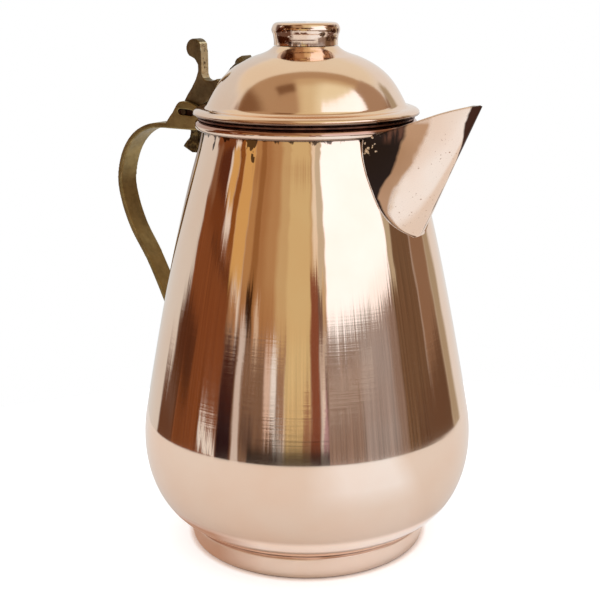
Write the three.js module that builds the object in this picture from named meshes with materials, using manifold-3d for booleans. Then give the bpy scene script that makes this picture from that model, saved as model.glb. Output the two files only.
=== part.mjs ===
// Spun copper milk jug with a folded spout, a cast brass handle and a hinged lid.
// Millimetres, +Z up, spout towards +X, handle towards -X, standing on Z = 0.
import * as THREE from 'three';
import { mergeVertices } from 'three/addons/utils/BufferGeometryUtils.js';
import Module from 'manifold-3d';

// Driving dimensions
const GAP = 0.3;                 // clearance between neighbouring pieces
const ROUND_STEPS = 40;          // facets round a spun piece
const SHEET = 0.9;               // copper sheet of body and lid

const BELLY_RADIUS = 69.59;      // body radius where the belly turns into the cone
const BELLY_Z = 58;
const BODY_FOOT_RADIUS = 51.66;  // body radius just above the foot ring
const BODY_FOOT_Z = 10.36;
const NECK_RADIUS = 42.5;        // outside of the neck under the rim bead
const NECK_Z = 178.5;
const BASE_Z = 4.0;              // underside of the bottom at its edge
const BASE_DISH = 2.0;           // how far the bottom is dished up in the middle
const STUB_INSET = 1.36;         // the body's end tapers in by this inside the foot ring

const BEAD_RADIUS = 2.0;         // outer radius of the rolled rim
const BEAD_RISE = 1.2;           // centre of the roll above the neck
const WIRE_RADIUS = 0.8;

const FOOT_TOP_RADIUS = 53.1;
const FOOT_BOTTOM_RADIUS = 50.9;
const FOOT_HEIGHT = 10.1;
const FOOT_SHEET = 1.1;
const STANDING_EDGE_WIDTH = 4.4; // width of the turned-in edge

const SPOUT_SHEET = 1.1;
const SPOUT_TIP_RADIUS = 77.7;   // reach of the tip from the jug's axis
const SPOUT_TIP_RISE = 11.8;     // tip above the neck
const SPOUT_DEPTH = 40.9;        // how far below the neck the fold line meets the body
const SPOUT_HALF_WIDTH = 21.9;   // half the widest part of the joint with the body
const SPOUT_EDGE_RISE = 9.2;     // rise of the straight part of the top edge
const SPOUT_EDGE_RUN = 24;       // run of that straight part

const HANDLE_WIDTH = 11;
const HANDLE_THICKNESS = 2.2;
const HANDLE_REACH = 98.2;       // outermost point of the strap from the jug's axis
const HANDLE_REACH_DROP = 29;    // that point below the neck
const BAR_DROP = 2.3;            // top of the level bar below the neck
const BAR_THICKNESS = 2.3;
const STRAP_FOOT_TOP_Z = 81.5;   // the strap lies on the belly between these heights
const STRAP_FOOT_BOTTOM_Z = 60;
const HEAD_HALF_LENGTH = 9.5;
const FORK_GAP = 5.8;
const SLOT = { inner: 5.9, outer: 2.7, height: 2.8, depth: 0.9 };
const PENDANT_WIDTH = 8;

const HINGE_RADIUS = 59.5;       // pin from the jug's axis
const HINGE_RISE = 1.7;          // pin above the centre of the rolled rim
const PIN_RADIUS = 1.2;
const PIN_LENGTH = 9.8;
const KNUCKLE_RADIUS = 2.9;

const LID_EDGE_RADIUS = 46.3;
const LID_EDGE_RISE = 2.8;       // edge of the flange above the rim
const FLANGE_HEIGHT = 2.4;
const DOME_RADIUS = 41.1;        // where the dome stands on the flange
const DOME_HEIGHT = 23.9;
const CROWN_RADIUS = 12.9;
const COLLAR_RADIUS = 41.0;
const COLLAR_DEPTH = 7;
const COLLAR_SEAT_WIDTH = 3.4;

const KNOB = { neck: 12.95, drum: 13.15, lip: 13.8, lipRise: 5.9, height: 8.9, sheet: 1.0 };

const LIFT_WIDTH = 5.2;
const LIFT_HEIGHT = 27;          // centre of the scroll above the pin
const SCROLL_RADIUS = 4.1;
const LIFT_STRAP_THICKNESS = 2.9;
const LEAF_WIDTH = 9;
const LEAF_TIP_RADIUS = 27.4;    // tip of the leaf from the jug's axis

const RIVET = { shank: 1.1, head: 1.8, headHeight: 0.9 };
const WALL_RIVET_GRIP = 2.5;     // thickness of the handle under a rivet head

// Heights that follow from them
const beadZ = NECK_Z + BEAD_RISE;
const beadTopZ = beadZ + BEAD_RADIUS;
const barTopZ = NECK_Z - BAR_DROP;
const barUndersideZ = barTopZ - BAR_THICKNESS;
const hingeZ = beadZ + HINGE_RISE;
const forkFloorZ = hingeZ - KNUCKLE_RADIUS - 0.5;
const collarSeatZ = beadTopZ + GAP;
const lidEdgeZ = beadTopZ + LID_EDGE_RISE;
const domeFootZ = lidEdgeZ + FLANGE_HEIGHT;
const crownZ = domeFootZ + DOME_HEIGHT;
const spoutFootZ = NECK_Z - SPOUT_DEPTH;
const spoutTipZ = NECK_Z + SPOUT_TIP_RISE;
const insideNeck = NECK_RADIUS - 4.5;

const wasm = await Module();
wasm.setup();

// Solids and booleans

function signedVolume(positions, index) {
  const a = new THREE.Vector3();
  const b = new THREE.Vector3();
  const c = new THREE.Vector3();
  let volume = 0;
  for (let i = 0; i < index.length; i += 3) {
    a.fromArray(positions, index[i] * 3);
    b.fromArray(positions, index[i + 1] * 3);
    c.fromArray(positions, index[i + 2] * 3);
    volume += a.dot(b.cross(c)) / 6;
  }
  return volume;
}

// A closed geometry as a solid: shared corners merged, empty triangles dropped, faces out.
function solid(geometry) {
  const bare = geometry.clone();
  bare.deleteAttribute('normal');
  bare.deleteAttribute('uv');
  const merged = mergeVertices(bare, 1e-4);
  const positions = merged.attributes.position.array;
  const triangles = [];
  const index = merged.index.array;
  for (let i = 0; i < index.length; i += 3) {
    const [p, q, r] = [index[i], index[i + 1], index[i + 2]];
    if (p !== q && q !== r && r !== p) triangles.push(p, q, r);
  }
  if (signedVolume(positions, triangles) < 0) triangles.reverse();
  return new wasm.Manifold(new wasm.Mesh({
    numProp: 3,
    vertProperties: new Float32Array(positions),
    triVerts: new Uint32Array(triangles),
  }));
}

function geometryOf(manifold) {
  const mesh = manifold.getMesh();
  const geometry = new THREE.BufferGeometry();
  geometry.setAttribute('position', new THREE.BufferAttribute(new Float32Array(mesh.vertProperties), 3));
  geometry.setIndex(new THREE.BufferAttribute(new Uint32Array(mesh.triVerts), 1));
  geometry.computeVertexNormals();
  return geometry;
}

// Turns a closed profile of [radius, z] points about the jug's axis.
function revolve(profile, steps = ROUND_STEPS) {
  const points = profile.map(([radius, z]) => new THREE.Vector2(radius, z));
  return new THREE.LatheGeometry(points, steps).rotateX(Math.PI / 2);
}

function closeLoop(profile) {
  return [...profile, profile[0]];
}

function shapeOf(points) {
  return new THREE.Shape(points.map(([u, v]) => new THREE.Vector2(u, v)));
}

// Side outline of [x, z] points given the width, centred on the plane of symmetry.
function slabFromSide(points, width) {
  const geometry = new THREE.ExtrudeGeometry(shapeOf(points), { depth: width, bevelEnabled: false });
  return geometry.rotateX(Math.PI / 2).translate(0, width / 2, 0);
}

// Front outline of [y, z] points carried along X from one plane to another.
function slabFromFront(points, fromX, toX) {
  const geometry = new THREE.ExtrudeGeometry(shapeOf(points), { depth: toX - fromX, bevelEnabled: false });
  return geometry.rotateX(Math.PI / 2).rotateZ(Math.PI / 2).translate(fromX, 0, 0);
}

// Plan outline of [x, y] points carried up from one level to another.
function slabFromAbove(points, fromZ, toZ) {
  const geometry = new THREE.ExtrudeGeometry(shapeOf(points), { depth: toZ - fromZ, bevelEnabled: false });
  return geometry.translate(0, 0, fromZ);
}

function barAlongY(radius, length, x, z, steps = 24) {
  return new THREE.CylinderGeometry(radius, radius, length, steps).translate(x, 0, z);
}

// Outlines

function bezier(points, steps) {
  const curve = new THREE.CubicBezierCurve(...points.map(([u, v]) => new THREE.Vector2(u, v)));
  return curve.getPoints(steps).map((p) => [p.x, p.y]);
}

function throughKnots(knots, steps) {
  const points = knots.map(([u, v]) => new THREE.Vector3(u, v, 0));
  const curve = new THREE.CatmullRomCurve3(points, false, 'centripetal');
  return curve.getPoints(steps).map((p) => [p.x, p.y]);
}

function arc(centreU, centreV, radius, fromDegrees, toDegrees, steps) {
  return Array.from({ length: steps + 1 }, (_, i) => {
    const angle = THREE.MathUtils.degToRad(fromDegrees + (toDegrees - fromDegrees) * i / steps);
    return [centreU + radius * Math.cos(angle), centreV + radius * Math.sin(angle)];
  });
}

// Moves a path sideways: to its right for a positive distance, seen along the path.
function offset(path, distance) {
  return path.map(([u, v], i) => {
    const before = path[Math.max(i - 1, 0)];
    const after = path[Math.min(i + 1, path.length - 1)];
    const length = Math.hypot(after[0] - before[0], after[1] - before[1]);
    const along = [(after[0] - before[0]) / length, (after[1] - before[1]) / length];
    const shift = typeof distance === 'function' ? distance(u, v) : distance;
    return [u + along[1] * shift, v - along[0] * shift];
  });
}

// Point of a rising outline, with the angle of the direction square to it.
function pointBetween(lower, upper, share) {
  return {
    radius: lower[0] + (upper[0] - lower[0]) * share,
    z: lower[1] + (upper[1] - lower[1]) * share,
    tilt: Math.atan2(lower[0] - upper[0], upper[1] - lower[1]),
  };
}

function pointAtHeight(path, z) {
  const last = path.length - 1;
  const i = Math.min(Math.max(path.findIndex(([, height]) => height > z), 1), last);
  const [lower, upper] = z >= path[last][1] ? [path[last - 1], path[last]] : [path[i - 1], path[i]];
  return pointBetween(lower, upper, (z - lower[1]) / (upper[1] - lower[1]));
}

function pointAtRadius(path, radius) {
  const i = Math.max(path.findIndex(([r]) => r < radius), 1);
  const [lower, upper] = [path[i - 1], path[i]];
  return pointBetween(lower, upper, (radius - lower[0]) / (upper[0] - lower[0]));
}

// Body of the jug: one spun sheet from the dished bottom to the rolled rim

const coneHeight = NECK_Z - BELLY_Z;
const meanLean = (NECK_RADIUS - BELLY_RADIUS) / coneHeight;
const [bellyLean, neckLean] = [0.814 * meanLean, 0.702 * meanLean];
const footSpread = BELLY_RADIUS - BODY_FOOT_RADIUS;
const footRise = BELLY_Z - BODY_FOOT_Z;
const bellyOutline = [
  ...bezier([
    [BODY_FOOT_RADIUS, BODY_FOOT_Z],
    [BODY_FOOT_RADIUS + 1.056 * footSpread, BODY_FOOT_Z + 0.183 * footRise],
    [BELLY_RADIUS - bellyLean * 0.319 * footRise, BELLY_Z - 0.319 * footRise],
    [BELLY_RADIUS, BELLY_Z],
  ], 8),
  ...bezier([
    [BELLY_RADIUS, BELLY_Z],
    [BELLY_RADIUS + bellyLean * 0.824 * coneHeight, BELLY_Z + 0.824 * coneHeight],
    [NECK_RADIUS - neckLean * 0.1136 * coneHeight, NECK_Z - 0.1136 * coneHeight],
    [NECK_RADIUS, NECK_Z],
  ], 6).slice(1),
];
const beadCentre = NECK_RADIUS - SHEET + BEAD_RADIUS;
const curlEnd = -98;
const stubRadius = BODY_FOOT_RADIUS - STUB_INSET;

function bodyProfile() {
  const inside = offset(bellyOutline, -SHEET).reverse();
  return [
    [0, BASE_Z + BASE_DISH],
    [stubRadius * 0.6, BASE_Z + BASE_DISH * 0.6],
    [stubRadius - 1, BASE_Z],
    [stubRadius, BASE_Z + 0.8],
    [BODY_FOOT_RADIUS - 0.1, BODY_FOOT_Z - 0.5],
    ...bellyOutline,
    ...arc(beadCentre, beadZ, BEAD_RADIUS - SHEET, 180, curlEnd, 5),
    ...arc(beadCentre, beadZ, BEAD_RADIUS, curlEnd, 180, 7),
    ...inside,
    [stubRadius - SHEET, BASE_Z + 0.8 + SHEET],
    [stubRadius - 2 * SHEET, BASE_Z + SHEET],
    [stubRadius * 0.6, BASE_Z + BASE_DISH * 0.6 + SHEET],
    [0, BASE_Z + BASE_DISH + SHEET],
  ];
}

// Everything that the body takes up, grown by a margin, for seating other pieces on it.
function bodyEnvelope(margin) {
  return solid(revolve([
    [0, BASE_Z - margin],
    [stubRadius + margin, BASE_Z - margin],
    ...offset(bellyOutline, margin),
    ...arc(beadCentre, beadZ, BEAD_RADIUS + margin, -90, 90, 6),
    [0, beadZ + BEAD_RADIUS + margin],
  ]));
}

// The mouth of the spout is one opening in the wall, below the unbroken rim: shares of the
// spout's depth below the neck, and of its half width.
function pourOpening() {
  const shares = [[0.82, 0], [0.795, 0.28], [0.71, 0.5], [0.575, 0.66], [0.4, 0.73], [0.23, 0.71], [0.147, 0.6]];
  const halfOutline = shares.map(([drop, width]) => [width * SPOUT_HALF_WIDTH, NECK_Z - drop * SPOUT_DEPTH]);
  const mirrored = halfOutline.slice(1).reverse().map(([y, z]) => [-y, z]);
  return solid(slabFromFront([...halfOutline, ...mirrored], insideNeck - 13, BELLY_RADIUS + 5));
}

// A rivet lies square to the wall at the handle's side; its holes are drilled along the same line.
function placeRivetLine(geometry, seat) {
  return geometry
    .rotateY(-Math.PI / 2 + seat.tilt)
    .translate(-seat.radius, 0, seat.z);
}

function rivetHole(seat) {
  const hole = new THREE.CylinderGeometry(RIVET.shank + GAP, RIVET.shank + GAP, 14, 16).rotateX(Math.PI / 2);
  return solid(placeRivetLine(hole, seat));
}

function rivetGeometry(plateTop) {
  const headFoot = plateTop + GAP;
  const tailTop = -SHEET - GAP;
  return revolve([
    [0, tailTop - RIVET.headHeight],
    [RIVET.head * 0.8, tailTop - RIVET.headHeight],
    [RIVET.head, tailTop - RIVET.headHeight * 0.5],
    [RIVET.head, tailTop],
    [RIVET.shank, tailTop],
    [RIVET.shank, headFoot],
    [RIVET.head, headFoot],
    [RIVET.head * 0.85, headFoot + RIVET.headHeight * 0.6],
    [RIVET.head * 0.45, headFoot + RIVET.headHeight],
    [0, headFoot + RIVET.headHeight],
  ], 10);
}

const wallRivetSeats = {
  tail_rivet_upper: pointAtHeight(bellyOutline, barUndersideZ - 3.5),
  tail_rivet_lower: pointAtHeight(bellyOutline, barUndersideZ - 9.5),
  foot_rivet_upper: pointAtHeight(bellyOutline, STRAP_FOOT_TOP_Z - 5),
  foot_rivet_lower: pointAtHeight(bellyOutline, STRAP_FOOT_BOTTOM_Z + 7.5),
};

function bodyShell() {
  let shell = solid(revolve(bodyProfile())).subtract(pourOpening());
  for (const seat of Object.values(wallRivetSeats)) shell = shell.subtract(rivetHole(seat));
  return geometryOf(shell);
}

function rimWire() {
  return revolve(closeLoop(arc(beadCentre, beadZ, WIRE_RADIUS, 0, 360, 6).slice(0, -1)));
}

// Soldered band that the jug stands on, its lower edge turned in flat
function footRing() {
  const inner = FOOT_TOP_RADIUS - FOOT_SHEET;
  const standingEdge = FOOT_BOTTOM_RADIUS - STANDING_EDGE_WIDTH;
  return revolve(closeLoop([
    [standingEdge, 0],
    [FOOT_BOTTOM_RADIUS - 0.6, 0],
    [FOOT_BOTTOM_RADIUS, 0.6],
    [FOOT_TOP_RADIUS, FOOT_HEIGHT - 0.7],
    [FOOT_TOP_RADIUS - 0.3, FOOT_HEIGHT],
    [inner, FOOT_HEIGHT],
    [FOOT_BOTTOM_RADIUS - FOOT_SHEET, FOOT_SHEET],
    [standingEdge, FOOT_SHEET],
  ]));
}

// Folded spout: a V of sheet whose fold is broad low down and tight at the tip

const spoutLevels = 12;
const spoutAcross = 9;
const spoutTuck = 4;
// Keys are shares of the way up from the fold line's foot to the neck.
const jointWidthShares = [
  [-0.02, 0.14], [0.02, 0.34], [0.066, 0.55], [0.164, 0.776], [0.28, 0.91], [0.425, 0.968], [0.636, 1],
  [0.79, 0.99], [1, 0.94],
];
const foldShares = [[0, 0.42], [0.2, 0.5], [0.43, 0.47], [0.79, 0.38], [1, 0.37], [1.3, 0.2]];

function interpolate(table, at) {
  const i = table.findIndex(([key]) => key >= at);
  if (i === 0) return table[0][1];
  if (i < 0) return table[table.length - 1][1];
  const [[k0, v0], [k1, v1]] = [table[i - 1], table[i]];
  return v0 + (v1 - v0) * (at - k0) / (k1 - k0);
}

// The spout's cross-section at one level is a hyperbola that passes through the joint.
function spoutSection(z, inset) {
  const jointZ = Math.min(z, NECK_Z - 0.5);
  const share = (z - spoutFootZ) / SPOUT_DEPTH;
  const footRadius = pointAtHeight(bellyOutline, spoutFootZ).radius;
  const keelSlope = (SPOUT_TIP_RADIUS - footRadius) / (spoutTipZ - spoutFootZ);
  const half = SPOUT_HALF_WIDTH * interpolate(jointWidthShares, Math.min(share, 1));
  const wallRadius = pointAtHeight(bellyOutline, jointZ).radius;
  const depth = footRadius + keelSlope * (jointZ - spoutFootZ) - Math.sqrt(wallRadius ** 2 - half ** 2);
  const fold = interpolate(foldShares, share) * half ** 2 / (2 * depth);
  const slope2 = depth ** 2 / (half ** 2 - 2 * depth * fold);
  const lean = fold * slope2 - inset * (Math.sqrt(1 + slope2) - 1);
  const keel = footRadius + keelSlope * (z - spoutFootZ) - inset;
  const widest = half + spoutTuck;
  return Array.from({ length: 2 * spoutAcross + 1 }, (_, i) => {
    const across = i / spoutAcross - 1;
    const w = widest * Math.sign(across) * Math.abs(across) ** 1.6;
    return [keel - (Math.sqrt(lean ** 2 + slope2 * w * w) - lean), w];
  });
}

function loft(sections, heights) {
  const count = sections[0].length;
  const positions = [];
  sections.forEach((section, level) => {
    section.forEach(([x, y]) => positions.push(x, y, heights[level]));
  });
  const index = [];
  for (let level = 0; level + 1 < sections.length; level += 1) {
    for (let i = 0; i < count; i += 1) {
      const next = (i + 1) % count;
      const [a, b] = [level * count + i, level * count + next];
      index.push(a, b, b + count, a, b + count, a + count);
    }
  }
  const top = (sections.length - 1) * count;
  for (let i = 1; i + 1 < count; i += 1) {
    index.push(0, i + 1, i);
    index.push(top, top + i, top + i + 1);
  }
  const geometry = new THREE.BufferGeometry();
  geometry.setAttribute('position', new THREE.Float32BufferAttribute(positions, 3));
  geometry.setIndex(index);
  return geometry;
}

function spoutLoft(inset) {
  const [from, to] = [spoutFootZ - 0.5, spoutTipZ + 3];
  const heights = Array.from({ length: spoutLevels + 1 }, (_, i) => from + (to - from) * i / spoutLevels);
  return solid(loft(heights.map((z) => spoutSection(z, inset)), heights));
}

// The top edge climbs straight from the rim and levels off over the tip.
function aboveSpoutEdge() {
  const [startRadius, startZ] = [NECK_RADIUS - 2.5, NECK_Z - 0.3];
  const [bendRadius, bendZ] = [startRadius + SPOUT_EDGE_RUN, startZ + SPOUT_EDGE_RISE];
  const behind = 20;
  const [tipRun, tipRise] = [SPOUT_TIP_RADIUS - bendRadius, spoutTipZ - bendZ];
  const beyond = SPOUT_TIP_RADIUS + 8;
  const edge = [
    [startRadius - behind, startZ - behind * SPOUT_EDGE_RISE / SPOUT_EDGE_RUN],
    [bendRadius, bendZ],
    [bendRadius + 0.33 * tipRun, bendZ + 0.5 * tipRise],
    [bendRadius + 0.66 * tipRun, bendZ + 0.87 * tipRise],
    [SPOUT_TIP_RADIUS + 0.1, spoutTipZ],
    [beyond, spoutTipZ],
    [beyond, spoutTipZ + 20],
    [startRadius - behind, spoutTipZ + 20],
  ];
  return solid(slabFromSide(edge, 120));
}

function spout() {
  const sheet = spoutLoft(0).subtract(spoutLoft(SPOUT_SHEET));
  return geometryOf(sheet.subtract(aboveSpoutEdge()).subtract(bodyEnvelope(GAP)));
}

// Handle: strap, level bar, hinge head, wall plate and pendant cast as one brass piece

const headOuter = HINGE_RADIUS + HEAD_HALF_LENGTH + 0.2;
const headInner = HINGE_RADIUS - HEAD_HALF_LENGTH + 0.2;
const reachZ = NECK_Z - HANDLE_REACH_DROP;

// Outer surface of the strap: bar, bend, a long sweep down to the belly, the foot that follows the wall.
function strapKnots() {
  const sweepShares = [[0.041, 0.14], [0.205, 0.328], [0.479, 0.516], [0.74, 0.734], [0.907, 0.896]];
  const outside = (z) => pointAtHeight(bellyOutline, z).radius + GAP + HANDLE_THICKNESS;
  const footRadius = outside(STRAP_FOOT_TOP_Z) + 1.2;
  const sweep = sweepShares.map(([inward, down]) => [
    HANDLE_REACH + (footRadius - HANDLE_REACH) * inward,
    reachZ + (STRAP_FOOT_TOP_Z - reachZ) * down,
  ]);
  const footLength = STRAP_FOOT_TOP_Z - STRAP_FOOT_BOTTOM_Z;
  const foot = [0.23, 0.44, 0.72, 1].map((share) => {
    const z = STRAP_FOOT_TOP_Z - share * footLength;
    return [outside(z) + 0.1, z];
  });
  return [
    [headOuter - 13.2, barTopZ], [headOuter - 1.2, barTopZ], [HANDLE_REACH - 19, barTopZ - 1],
    [HANDLE_REACH - 10.3, barTopZ - 5.4], [HANDLE_REACH - 3.6, barTopZ - 13.8], [HANDLE_REACH, reachZ],
    ...sweep, [footRadius, STRAP_FOOT_TOP_Z], ...foot,
  ];
}

function mirrorX(points) {
  return points.map(([x, z]) => [-x, z]);
}

function strap() {
  const outer = throughKnots(strapKnots(), 36);
  const inner = offset(outer, (u, z) => {
    const seated = THREE.MathUtils.clamp((STRAP_FOOT_TOP_Z + 4.5 - z) / 8, 0, 1);
    return HANDLE_THICKNESS + 2 * seated;
  });
  const side = solid(slabFromSide(mirrorX([...outer, ...inner.reverse()]), HANDLE_WIDTH));
  const [upperHalf, lowerHalf] = [HANDLE_WIDTH / 2, HANDLE_WIDTH / 2 - 0.5];
  const tongue = arc(0, STRAP_FOOT_BOTTOM_Z + lowerHalf, lowerHalf, 180, 360, 8);
  const sweepHeight = reachZ - STRAP_FOOT_TOP_Z;
  const [narrowZ, wideZ, topZ] = [reachZ - 0.6 * sweepHeight, reachZ + 0.15 * sweepHeight, hingeZ + 9];
  const width = [
    ...tongue, [lowerHalf, narrowZ], [upperHalf, wideZ], [upperHalf, topZ],
    [-upperHalf, topZ], [-upperHalf, wideZ], [-lowerHalf, narrowZ],
  ];
  return side.intersect(solid(slabFromFront(width, -HANDLE_REACH - 20, -insideNeck)));
}

// Points given from the hinge's axis, outward and up
function fromHinge(points) {
  return points.map(([out, up]) => [HINGE_RADIUS + out, hingeZ + up]);
}

function hingeHead() {
  const outline = [
    [headOuter, barTopZ],
    ...fromHinge([[5.9, -0.7], [3.3, 3.1], [2.3, 4.1], [0.7, 4.6], [-2, 4.6], [-6.9, 3]]),
    [headInner, hingeZ + 1], [headInner, barTopZ], [insideNeck, barTopZ], [insideNeck, barUndersideZ],
    [headOuter, barUndersideZ],
  ];
  const fork = [
    [headOuter + 3, forkFloorZ], [headOuter + 3, hingeZ + 10], [headInner - 2, hingeZ + 10],
    [headInner - 2, forkFloorZ],
  ];
  const slotRadius = SLOT.height / 2;
  const slot = [
    ...arc(HINGE_RADIUS + SLOT.outer - slotRadius, hingeZ, slotRadius, -90, 90, 6),
    ...arc(HINGE_RADIUS - SLOT.inner + slotRadius, hingeZ, slotRadius, 90, 270, 6),
  ];
  let head = solid(slabFromSide(mirrorX(outline), HANDLE_WIDTH));
  head = head.subtract(solid(slabFromSide(mirrorX(fork), FORK_GAP)));
  head = head.subtract(solid(barAlongY(PIN_RADIUS + GAP, 3 * HANDLE_WIDTH, -HINGE_RADIUS, hingeZ)));
  for (const side of [-1, 1]) {
    const recess = slabFromSide(mirrorX(slot), 2 * SLOT.depth);
    head = head.subtract(solid(recess.translate(0, side * HANDLE_WIDTH / 2, 0)));
  }
  return head;
}

function wallPlate() {
  const [bottom, top, thickness] = [barUndersideZ - 12.9, barUndersideZ + 1, GAP + WALL_RIVET_GRIP];
  const lower = pointAtHeight(bellyOutline, bottom).radius;
  const upper = pointAtHeight(bellyOutline, top).radius;
  const side = [[insideNeck, bottom], [lower + thickness, bottom], [upper + thickness, top], [insideNeck, top]];
  const half = HANDLE_WIDTH / 2;
  const front = [...arc(0, bottom + half, half, 180, 360, 8), [half, top + 1], [-half, top + 1]];
  return solid(slabFromSide(mirrorX(side), HANDLE_WIDTH))
    .intersect(solid(slabFromFront(front, -lower - 10, -insideNeck + 8)));
}

// Leaf-shaped drop under the bar: shares of the bar's length out from the neck, and depths under it
function pendant() {
  const barLength = headOuter - NECK_RADIUS;
  const outline = [
    [0.551, 1], [0.532, -0.9], [0.558, -3.5], [0.626, -5.1], [0.693, -7.4], [0.596, -8.8], [0.513, -9.9],
    [0.393, -9.8], [0.352, -7.4], [0.378, -3.9], [0.386, 1],
  ].map(([out, up]) => [NECK_RADIUS + out * barLength, barUndersideZ + up]);
  return solid(slabFromSide(mirrorX(outline), PENDANT_WIDTH));
}

function handle() {
  let whole = strap().add(hingeHead()).add(wallPlate()).add(pendant()).subtract(bodyEnvelope(GAP));
  for (const seat of Object.values(wallRivetSeats)) whole = whole.subtract(rivetHole(seat));
  return geometryOf(whole);
}

// Lid: spun dome with a rolled-over flange, a plain locating collar and a hollow knob

function onDome(shares) {
  return shares.map(([out, up]) => [DOME_RADIUS * out, domeFootZ + DOME_HEIGHT * up]);
}

const domeSide = bezier(onDome([[1, 0], [0.893, 0.356], [0.8175, 0.615], [0.518, 0.824]]), 8);
const domeOutline = [
  ...domeSide,
  ...bezier([...onDome([[0.518, 0.824], [0.472, 0.858], [0.377, 0.879]]), [CROWN_RADIUS, crownZ]], 4).slice(1),
];
const flangeSteps = 4;

// Quarter-round of the flange, from its edge up to the dome's foot.
function flangeOutline(growth) {
  return Array.from({ length: flangeSteps + 1 }, (_, i) => {
    const angle = Math.PI / 2 * i / flangeSteps;
    const [run, rise] = [LID_EDGE_RADIUS - DOME_RADIUS + growth, FLANGE_HEIGHT - 0.15 + growth];
    return [DOME_RADIUS + run * Math.cos(angle), lidEdgeZ + rise * Math.sin(angle)];
  });
}

function lidProfile() {
  const domeInside = offset(domeOutline, -SHEET);
  const underFlange = domeFootZ - 0.15 - SHEET;
  return closeLoop([
    ...flangeOutline(0),
    ...domeOutline,
    [0, crownZ],
    [0, crownZ - SHEET],
    ...domeInside.slice(1).reverse(),
    [DOME_RADIUS - SHEET, underFlange],
    ...flangeOutline(-SHEET).reverse(),
  ]);
}

function lidEnvelope(margin) {
  return solid(revolve([
    [0, lidEdgeZ - 1],
    [LID_EDGE_RADIUS + margin, lidEdgeZ - 1],
    ...flangeOutline(margin).slice(0, -1),
    ...offset(domeOutline, margin),
    [0, crownZ + margin],
  ]));
}

const liftRivetSeats = {
  lift_rivet_lower: pointAtRadius(domeOutline, LEAF_TIP_RADIUS + 8.3),
  lift_rivet_upper: pointAtRadius(domeOutline, LEAF_TIP_RADIUS + 2.8),
};

function lidShell() {
  let shell = solid(revolve(lidProfile()));
  for (const seat of Object.values(liftRivetSeats)) shell = shell.subtract(rivetHole(seat));
  return geometryOf(shell);
}

function lidCollar() {
  const bottom = collarSeatZ - COLLAR_DEPTH;
  const seatTop = collarSeatZ + SHEET;
  const top = domeFootZ - 0.15 - SHEET - GAP;
  return revolve(closeLoop([
    [COLLAR_RADIUS - SHEET, bottom],
    [COLLAR_RADIUS, bottom],
    [COLLAR_RADIUS, collarSeatZ],
    [COLLAR_RADIUS + COLLAR_SEAT_WIDTH, collarSeatZ],
    [COLLAR_RADIUS + COLLAR_SEAT_WIDTH, seatTop],
    [COLLAR_RADIUS, seatTop],
    [COLLAR_RADIUS, top],
    [COLLAR_RADIUS - SHEET, top],
  ]));
}

function lidKnob() {
  const bottom = crownZ + GAP;
  const { neck, drum, lip, lipRise, height, sheet } = KNOB;
  const [lipZ, topZ] = [bottom + lipRise, bottom + height];
  return revolve([
    [neck, bottom],
    [neck, bottom + 0.11 * height],
    [drum, bottom + 0.27 * height],
    [drum, lipZ - 0.22 * height],
    [lip - 0.1, lipZ - 0.11 * height],
    [lip, lipZ],
    [lip - 0.3, lipZ + 0.13 * height],
    [lip - 1, topZ - 0.08 * height],
    [lip - 2.2, topZ],
    [0, topZ],
    [0, topZ - sheet],
    [neck - sheet, topZ - sheet],
    [neck - sheet, bottom],
    [neck, bottom],
  ]);
}

// Thumb lift: knuckle, web, upright stem with a scroll, and a strap riveted along the dome

function liftOutline() {
  const stem = LIFT_HEIGHT - 9.4;
  return [
    ...arc(HINGE_RADIUS, hingeZ, KNUCKLE_RADIUS, -150, 20, 9),
    ...fromHinge([
      [1.9, 3.2], [1.3, 4.6], [-0.5, 7.4], [-2.7, 10.2], [-5.1, 14], [-6.5, stem], [-6.5, stem + 2.6],
      [-4.9, LIFT_HEIGHT - 4.4],
    ]),
    ...arc(HINGE_RADIUS - 4.6, hingeZ + LIFT_HEIGHT, SCROLL_RADIUS, -50, 150, 8),
    ...fromHinge([
      [-8.6, LIFT_HEIGHT - 1.9], [-8.6, stem - 1], [-9.2, 14.6], [-10.7, 13.7], [-14.3, 13.7], [-16.3, 14.6],
    ]),
    [DOME_RADIUS - 5.1, domeFootZ + 3.1], [DOME_RADIUS - 1.1, domeFootZ - 2.9],
    [LID_EDGE_RADIUS + 0.7, lidEdgeZ + 2.5],
    ...fromHinge([[-8, 3.2], [-4.5, 1.2]]),
  ];
}

function liftStrap() {
  const along = domeSide.filter(([radius]) => radius > LEAF_TIP_RADIUS - 3);
  const band = [...offset(along, GAP + LIFT_STRAP_THICKNESS), ...offset(along, -1).reverse()];
  const [wide, waist, leaf] = [LIFT_WIDTH / 2, 2, LEAF_WIDTH / 2];
  const stemEnd = LID_EDGE_RADIUS + 3.7 - LEAF_TIP_RADIUS;
  const half = [
    [stemEnd, wide], [8.6, wide], [7.2, waist], [6.6, waist], [5.4, leaf * 0.8], [3.8, leaf],
    [2, leaf * 0.75], [0, 0],
  ].map(([fromTip, y]) => [LEAF_TIP_RADIUS + fromTip, y]);
  const plan = [...half, ...half.slice(0, -1).reverse().map(([x, y]) => [x, -y])];
  return solid(slabFromSide(mirrorX(band), LEAF_WIDTH + 2))
    .intersect(solid(slabFromAbove(mirrorX(plan), domeFootZ - 7, crownZ + 5)));
}

function thumbLift() {
  let whole = solid(slabFromSide(mirrorX(liftOutline()), LIFT_WIDTH)).add(liftStrap());
  whole = whole.subtract(lidEnvelope(GAP));
  whole = whole.subtract(solid(barAlongY(PIN_RADIUS + GAP, 3 * LIFT_WIDTH, -HINGE_RADIUS, hingeZ)));
  for (const seat of Object.values(liftRivetSeats)) whole = whole.subtract(rivetHole(seat));
  return geometryOf(whole);
}

// Materials

function metal(color, roughness, metalness = 1) {
  return new THREE.MeshStandardMaterial({ color, roughness, metalness });
}

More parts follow.
